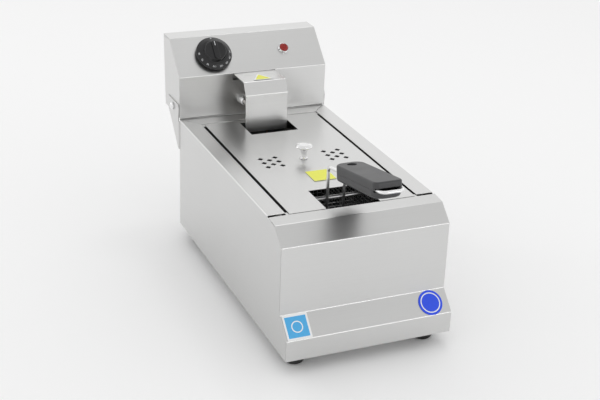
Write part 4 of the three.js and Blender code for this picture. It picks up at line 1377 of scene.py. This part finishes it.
# ---- basket
@dataclass
class Basket:
    """The wire basket with its rim, its handle wire and the two shells of its grip."""

    finishes: Finishes
    pitch: float = 7.0
    mesh_wire: float = 0.7
    corner: float = 13.0
    front_lean: float = 17.0
    rear_lean: float = 6.0
    rod: float = 2.5
    rod_x: float = 13.8
    rod_top: float = 254.5
    bend: float = 9.0
    tilt: float = math.radians(10.5)
    grip_rear: tuple[float, float] = (-167.82, 261.6)
    grip_width: float = 45.0
    grip_thickness: float = 24.4
    loop_x: float = 17.4
    loop_end: float = 149.5
    screw_back: float = 17.0
    screw_hole: float = 2.3
    recess: float = 7.4
    slot_x: tuple[float, float] = (10.0, 17.6)

    def build(self) -> None:
        """Makes every piece of the basket."""
        self.wires()
        self.rim()
        self.handle()
        self.grip()

    def wires(self) -> None:
        """Weaves the basket: rings round it, uprights on its walls and a grid across its floor."""
        box = Box.of("basket_mesh")
        skin = Vector((0.8, 0.8, 0.8))
        (_, front, low), (x, rear, high) = box.low + skin, box.high - skin
        top = ring_path(x, front, rear, high, self.corner)
        floor = ring_path(x, front + self.front_lean, rear - self.rear_lean, low, self.corner)
        count = round((high - low) / self.pitch)
        rings = [[a.lerp(b, step / count) for a, b in zip(top, floor)] for step in range(count + 1)]
        uprights, along = [], 0.0
        for a, b, c, d in zip(top, floor, top[1:] + top[:1], floor[1:] + floor[:1]):
            length = (c - a).length
            while along < length:
                uprights.append([a.lerp(c, along / length), b.lerp(d, along / length)])
                along += self.pitch
            along -= length
        grid = self.floor_lines(x, front + self.front_lean, rear - self.rear_lean, low)
        piece = Piece.tube(rings, self.mesh_wire, 6, closed=True)
        piece.join(Piece.tube(uprights + grid, self.mesh_wire, 6))
        piece.finish("wire_basket", self.finishes.wire, "basket", "wire_steel", ["basket_mesh"], 0)

    def floor_lines(self, x: float, y0: float, y1: float, z: float) -> list[list[Corner]]:
        """Returns the wires both ways across the floor, cut short at the rounded corners."""
        middle, half = (y0 + y1) / 2, (y1 - y0) / 2
        lines = []
        for reach, limit, along_y in ((x, half, True), (half, x, False)):
            count = int((reach - 1) / self.pitch)
            for at in (step * self.pitch for step in range(-count, count + 1)):
                into = max(0.0, abs(at) - (reach - self.corner))
                end = limit - self.corner + math.sqrt(self.corner ** 2 - into ** 2)
                pairs = ((at, -end), (at, end)) if along_y else ((-end, at), (end, at))
                lines.append([(across, middle + back, z) for across, back in pairs])
        return lines

    def rim(self) -> None:
        """Bends the rim wire round the basket's mouth."""
        box = Box.of("basket_rim")
        radius = (box.high.z - box.low.z) / 2
        path = ring_path(box.high.x - radius, box.low.y + radius, box.high.y - radius, box.centre.z,
                         self.corner + 3.2)
        rim = Piece.tube([path], radius, 16, closed=True)
        rim.finish("basket_rim_wire", self.finishes.wire, "basket", "wire_steel", ["basket_rim"], 0)

    def in_grip(self, x: float, forward: float, up: float = 0.0) -> tuple[float, float, float]:
        """Returns the place of a point given in the grip's own directions."""
        cos, sin = math.cos(self.tilt), math.sin(self.tilt)
        y, z = self.grip_rear
        return x, y - forward * cos + up * sin, z + forward * sin + up * cos

    def handle(self) -> None:
        """Bends the handle wire: up both sides, through the grip and round its front as a loop."""
        box, rim, wall = Box.of("handle_rod"), Box.of("basket_rim"), Box.of("basket_mesh")
        y = rim.low.y - 0.3 - self.rod
        half = [
            (self.rod_x, y, box.low.z), (self.rod_x, y, self.rod_top), self.in_grip(self.rod_x, 8),
            self.in_grip(self.loop_x, 70), self.in_grip(self.loop_x, self.loop_end),
        ]
        path = route([(-x, *rest) for x, *rest in half] + half[::-1], self.bend, 10)
        piece = Piece.tube([path], self.rod, 16)
        foot = box.low.z + 6
        lean = self.front_lean * (wall.high.z - foot) / (wall.high.z - wall.low.z)
        ties = [[(x, y, foot), (x, wall.low.y + lean + 1.2, foot)] for x in (-self.rod_x, self.rod_x)]
        piece.join(Piece.tube(ties, 1.5, 10))
        piece.finish("bent_handle", self.finishes.wire, "basket", "wire_steel", ["handle_rod"], 0)

    def grip(self) -> None:
        """Moulds the grip's two shells and sets the screw in its recess."""
        place = Matrix.Translation((0, *self.grip_rear)) @ Matrix.Rotation(-self.tilt, 4, "X")
        half, thick, gap = self.grip_width / 2, self.grip_thickness / 2, 0.15
        shells = (("grip_upper", 1, 8.0, 137.0, 2.8), ("grip_lower", -1, 16.0, 139.0, 4.0))
        for node, side, nose, length, crest_round in shells:
            shell = Piece.plate([
                (-half, -length, nose), (half, -length, nose), (half, 0, 15.0), (-half, 0, 15.0),
            ], thick - gap)
            shell.move(0, 0, thick if side > 0 else -gap)
            outer = side * thick
            crest = [e for e in shell.bm.edges if all(abs(v.co.z - outer) < 0.01 for v in e.verts)]
            shell.bevel(crest, crest_round, 5)
            room = self.rod + 0.5
            tools = [
                Piece.block((-half + 1.5, -length - 9, -room), (half - 1.5, -30, room)),
                Piece.block((-self.slot_x[1], -31, -room), (-self.slot_x[0], 9, room)),
                Piece.block((self.slot_x[0], -31, -room), (self.slot_x[1], 9, room)),
                Piece.bar(self.screw_hole, -20, 20).move(0, -self.screw_back, 0),
            ]
            if side > 0:
                tools.append(Piece.bar(self.recess, 6.6, 20).move(0, -self.screw_back, 0))
            shell.carve(*tools).place(place)
            shell.finish(f"{node}_shell", self.finishes.grip, "basket", "grip_plastic", [node], 0.5)
        screw = dome_screw(5.0, 2.1, 2.0, 13.5).move(0, -self.screw_back, 6.9).place(place)
        screw.finish("grip_fixing", self.finishes.polished, "basket", "polished_steel", ["grip_screw"], 0.1)


# ---- labels
@dataclass
class Labels:
    """The four printed labels, plain and unlettered."""

    thickness: float = 0.4

    def build(self) -> None:
        """Lays each label on its face."""
        flare_up = (Vector((0, 28.3, 27.7))).normalized()
        flare_out = Vector((0, -flare_up.z, flare_up.y))
        level = Vector((0, 1, 0))
        self.flat("round_label", "casing", "blue_label", LabelShape.ROUND, (0.018, 0.075, 0.78), flare_up,
                  flare_out, (19.6, 19.6), 0.0, 15.2)
        self.flat("square_label", "casing", "sky_label", LabelShape.SQUARE, (0.08, 0.42, 0.78), flare_up,
                  flare_out, (19.6, 19.0), 3.0, 8.2)
        self.flat("lid_label", "lid", "yellow_label", LabelShape.SQUARE, (0.83, 0.84, 0.07), level,
                  Vector((0, 0, 1)), (18.5, 19.5), 1.0, 0.0)
        self.flat("hood_label", "head", "yellow_label", LabelShape.TRIANGLE, (0.83, 0.84, 0.07), level,
                  Vector((0, 0, 1)), (18.0, 15.6), 2.2, 0.0)

    def flat(self, node: str, body: str, slot: str, shape: LabelShape, ground: Colour, up: Vector,
             out: Vector, half: tuple[float, float], border: float, ring: float) -> None:
        """Makes one label in its own plane.

        Args:
            node: the CAD label it replaces.
            body: the body it rides on.
            slot: the record's material slot.
            shape: its outline.
            ground: the colour inside its border.
            up: the direction in its plane that is up on the label.
            out: the direction it faces.
            half: half its width and half its height.
            border: the width of its pale border.
            ring: the radius of a pale ring, 0 for none.
        """
        middle = Box.of(node).centre
        wide, tall = half
        if shape is LabelShape.ROUND:
            foot = -self.thickness
            label = Piece.turned([(0, 0, 0), (wide, 0, 0.1), (wide, foot, 0), (0, foot, 0)], 96)
        else:
            rounding = 1.2 if shape is LabelShape.SQUARE else 0.8
            corners = [(-wide, -tall), (wide, -tall), (wide, tall), (-wide, tall)]
            if shape is LabelShape.TRIANGLE:
                corners = [(-wide, -tall), (wide, -tall), (0, tall)]
            label = Piece.plate([(x, y, rounding) for x, y in corners], self.thickness)
        label.place(axes(middle + out * self.thickness / 2, Vector((1, 0, 0)), up, out))
        pale = (0.86, 0.87, 0.3) if node == "lid_label" else PALE_INK
        ink = Printed(f"ink_{node}", shape, ground, middle, up, wide, tall, border, ring, pale=pale).make()
        label.finish(f"printed_{node}", ink, body, slot, [node], 0)


# ---- studio
@dataclass
class Studio:
    """The pale floor, the soft light and the camera."""

    azimuth: float = math.radians(-23.92)
    elevation: float = math.radians(24.25)
    roll: float = math.radians(2.36)
    lens: float = 72.89
    distance: float = 2.0134
    aim: tuple[float, float, float] = (0.0113, 0.0252, 0.1285)
    floor_span: float = 30.0
    sky_strength: float = 1.12
    overhead: float = 0.74
    front: float = 0.84

    def build(self) -> None:
        """Sets up the camera, the floor and the light."""
        self.camera()
        self.floor()
        self.sky()
        for name, at, aim_z, size, power in (
            ("front_softbox", (1.25, -3.2, 0.6), 0.15, (1.8, 0.35), 9.0),
            ("back_softbox", (-1.9, 2.0, 0.9), 0.15, (0.4, 1.2), 4.0),
            ("top_softbox", (0.75, 0.6, 2.4), 0.2, (0.6, 0.6), 3.0),
        ):
            self.softbox(name, at, (0, 0, aim_z), size, power)
        bpy.context.scene.view_settings.view_transform = "Standard"

    def camera(self) -> None:
        """Places the camera."""
        a, e = self.azimuth, self.elevation
        back = Vector((math.sin(a) * math.cos(e), -math.cos(a) * math.cos(e), math.sin(e)))
        level = Vector((math.cos(a), math.sin(a), 0))
        upright = back.cross(level)
        right = level * math.cos(self.roll) + upright * math.sin(self.roll)
        up = upright * math.cos(self.roll) - level * math.sin(self.roll)
        data = bpy.data.cameras.new("camera")
        data.lens = self.lens
        data.sensor_width = 36.0
        data.clip_start, data.clip_end = 0.05, 60.0
        camera = put("camera", data)
        camera.matrix_world = axes(Vector(self.aim) + back * self.distance, right, up, back)
        bpy.context.scene.camera = camera

    def floor(self) -> None:
        """Lays a wide pale floor under the feet."""
        half = self.floor_span / 2
        corners = [(-half, -half, 0), (half, -half, 0), (half, half, 0), (-half, half, 0)]
        mesh = Piece.face(corners).mesh("floor")
        mesh.materials.append(Moulded("floor_pale", (0.97, 0.97, 0.97), 0.8, 60.0, 0.0, 0.0).make())
        put("floor", mesh)

    def sky(self) -> None:
        """Surrounds the scene with even light that is dimmer overhead and a little dimmer in front."""
        recipe = Recipe(bpy.data.worlds.new("studio"))
        towards = recipe.value("ShaderNodeTexCoord", output="Generated")
        parts = recipe.node("ShaderNodeSeparateXYZ", None, {0: towards})
        height, back = Value(recipe, parts.outputs[2]), Value(recipe, parts.outputs[1])
        overhead = recipe.ramp(height, (0.2, 0.85), (1.0, self.overhead))
        front = recipe.ramp(back, (-0.9, 0.1), (self.front, 1.0))
        strength = overhead * front * self.sky_strength
        glow = recipe.value("ShaderNodeBackground", None, {"Color": grey(1.0), "Strength": strength})
        recipe.node("ShaderNodeOutputWorld", None, {"Surface": glow})
        bpy.context.scene.world = recipe.owner

    def softbox(self, name: str, at: Sequence[float], aim: Sequence[float], size: tuple[float, float],
                power: float) -> None:
        """Hangs one soft light.

        Args:
            name: the light's name.
            at: its place.
            aim: the point it faces.
            size: its width and height.
            power: its power in watts.
        """
        data = bpy.data.lights.new(name, "AREA")
        data.shape = "RECTANGLE"
        data.size, data.size_y = size
        data.energy = power
        light = put(name, data)
        towards = Vector(aim) - Vector(at)
        light.matrix_world = Matrix.Translation(at) @ towards.to_track_quat("-Z", "Y").to_matrix().to_4x4()


def main() -> None:
    """Builds the studio and then the fryer, sub-assembly by sub-assembly."""
    logging.basicConfig(level=logging.INFO, format="%(message)s")
    Studio().build()
    finishes = Finishes()
    for part in (
        Casing(finishes), Hinge(finishes), ControlHead(finishes), Dial(finishes), Lamp(finishes),
        Element(finishes), Lid(finishes), Basket(finishes), Labels(),
    ):
        before = set(bpy.data.objects)
        part.build()
        for made in sorted(each.name for each in bpy.data.objects if each not in before):
            log.info("%s: %s", type(part).__name__, made)


if __name__ == "__main__":
    main()
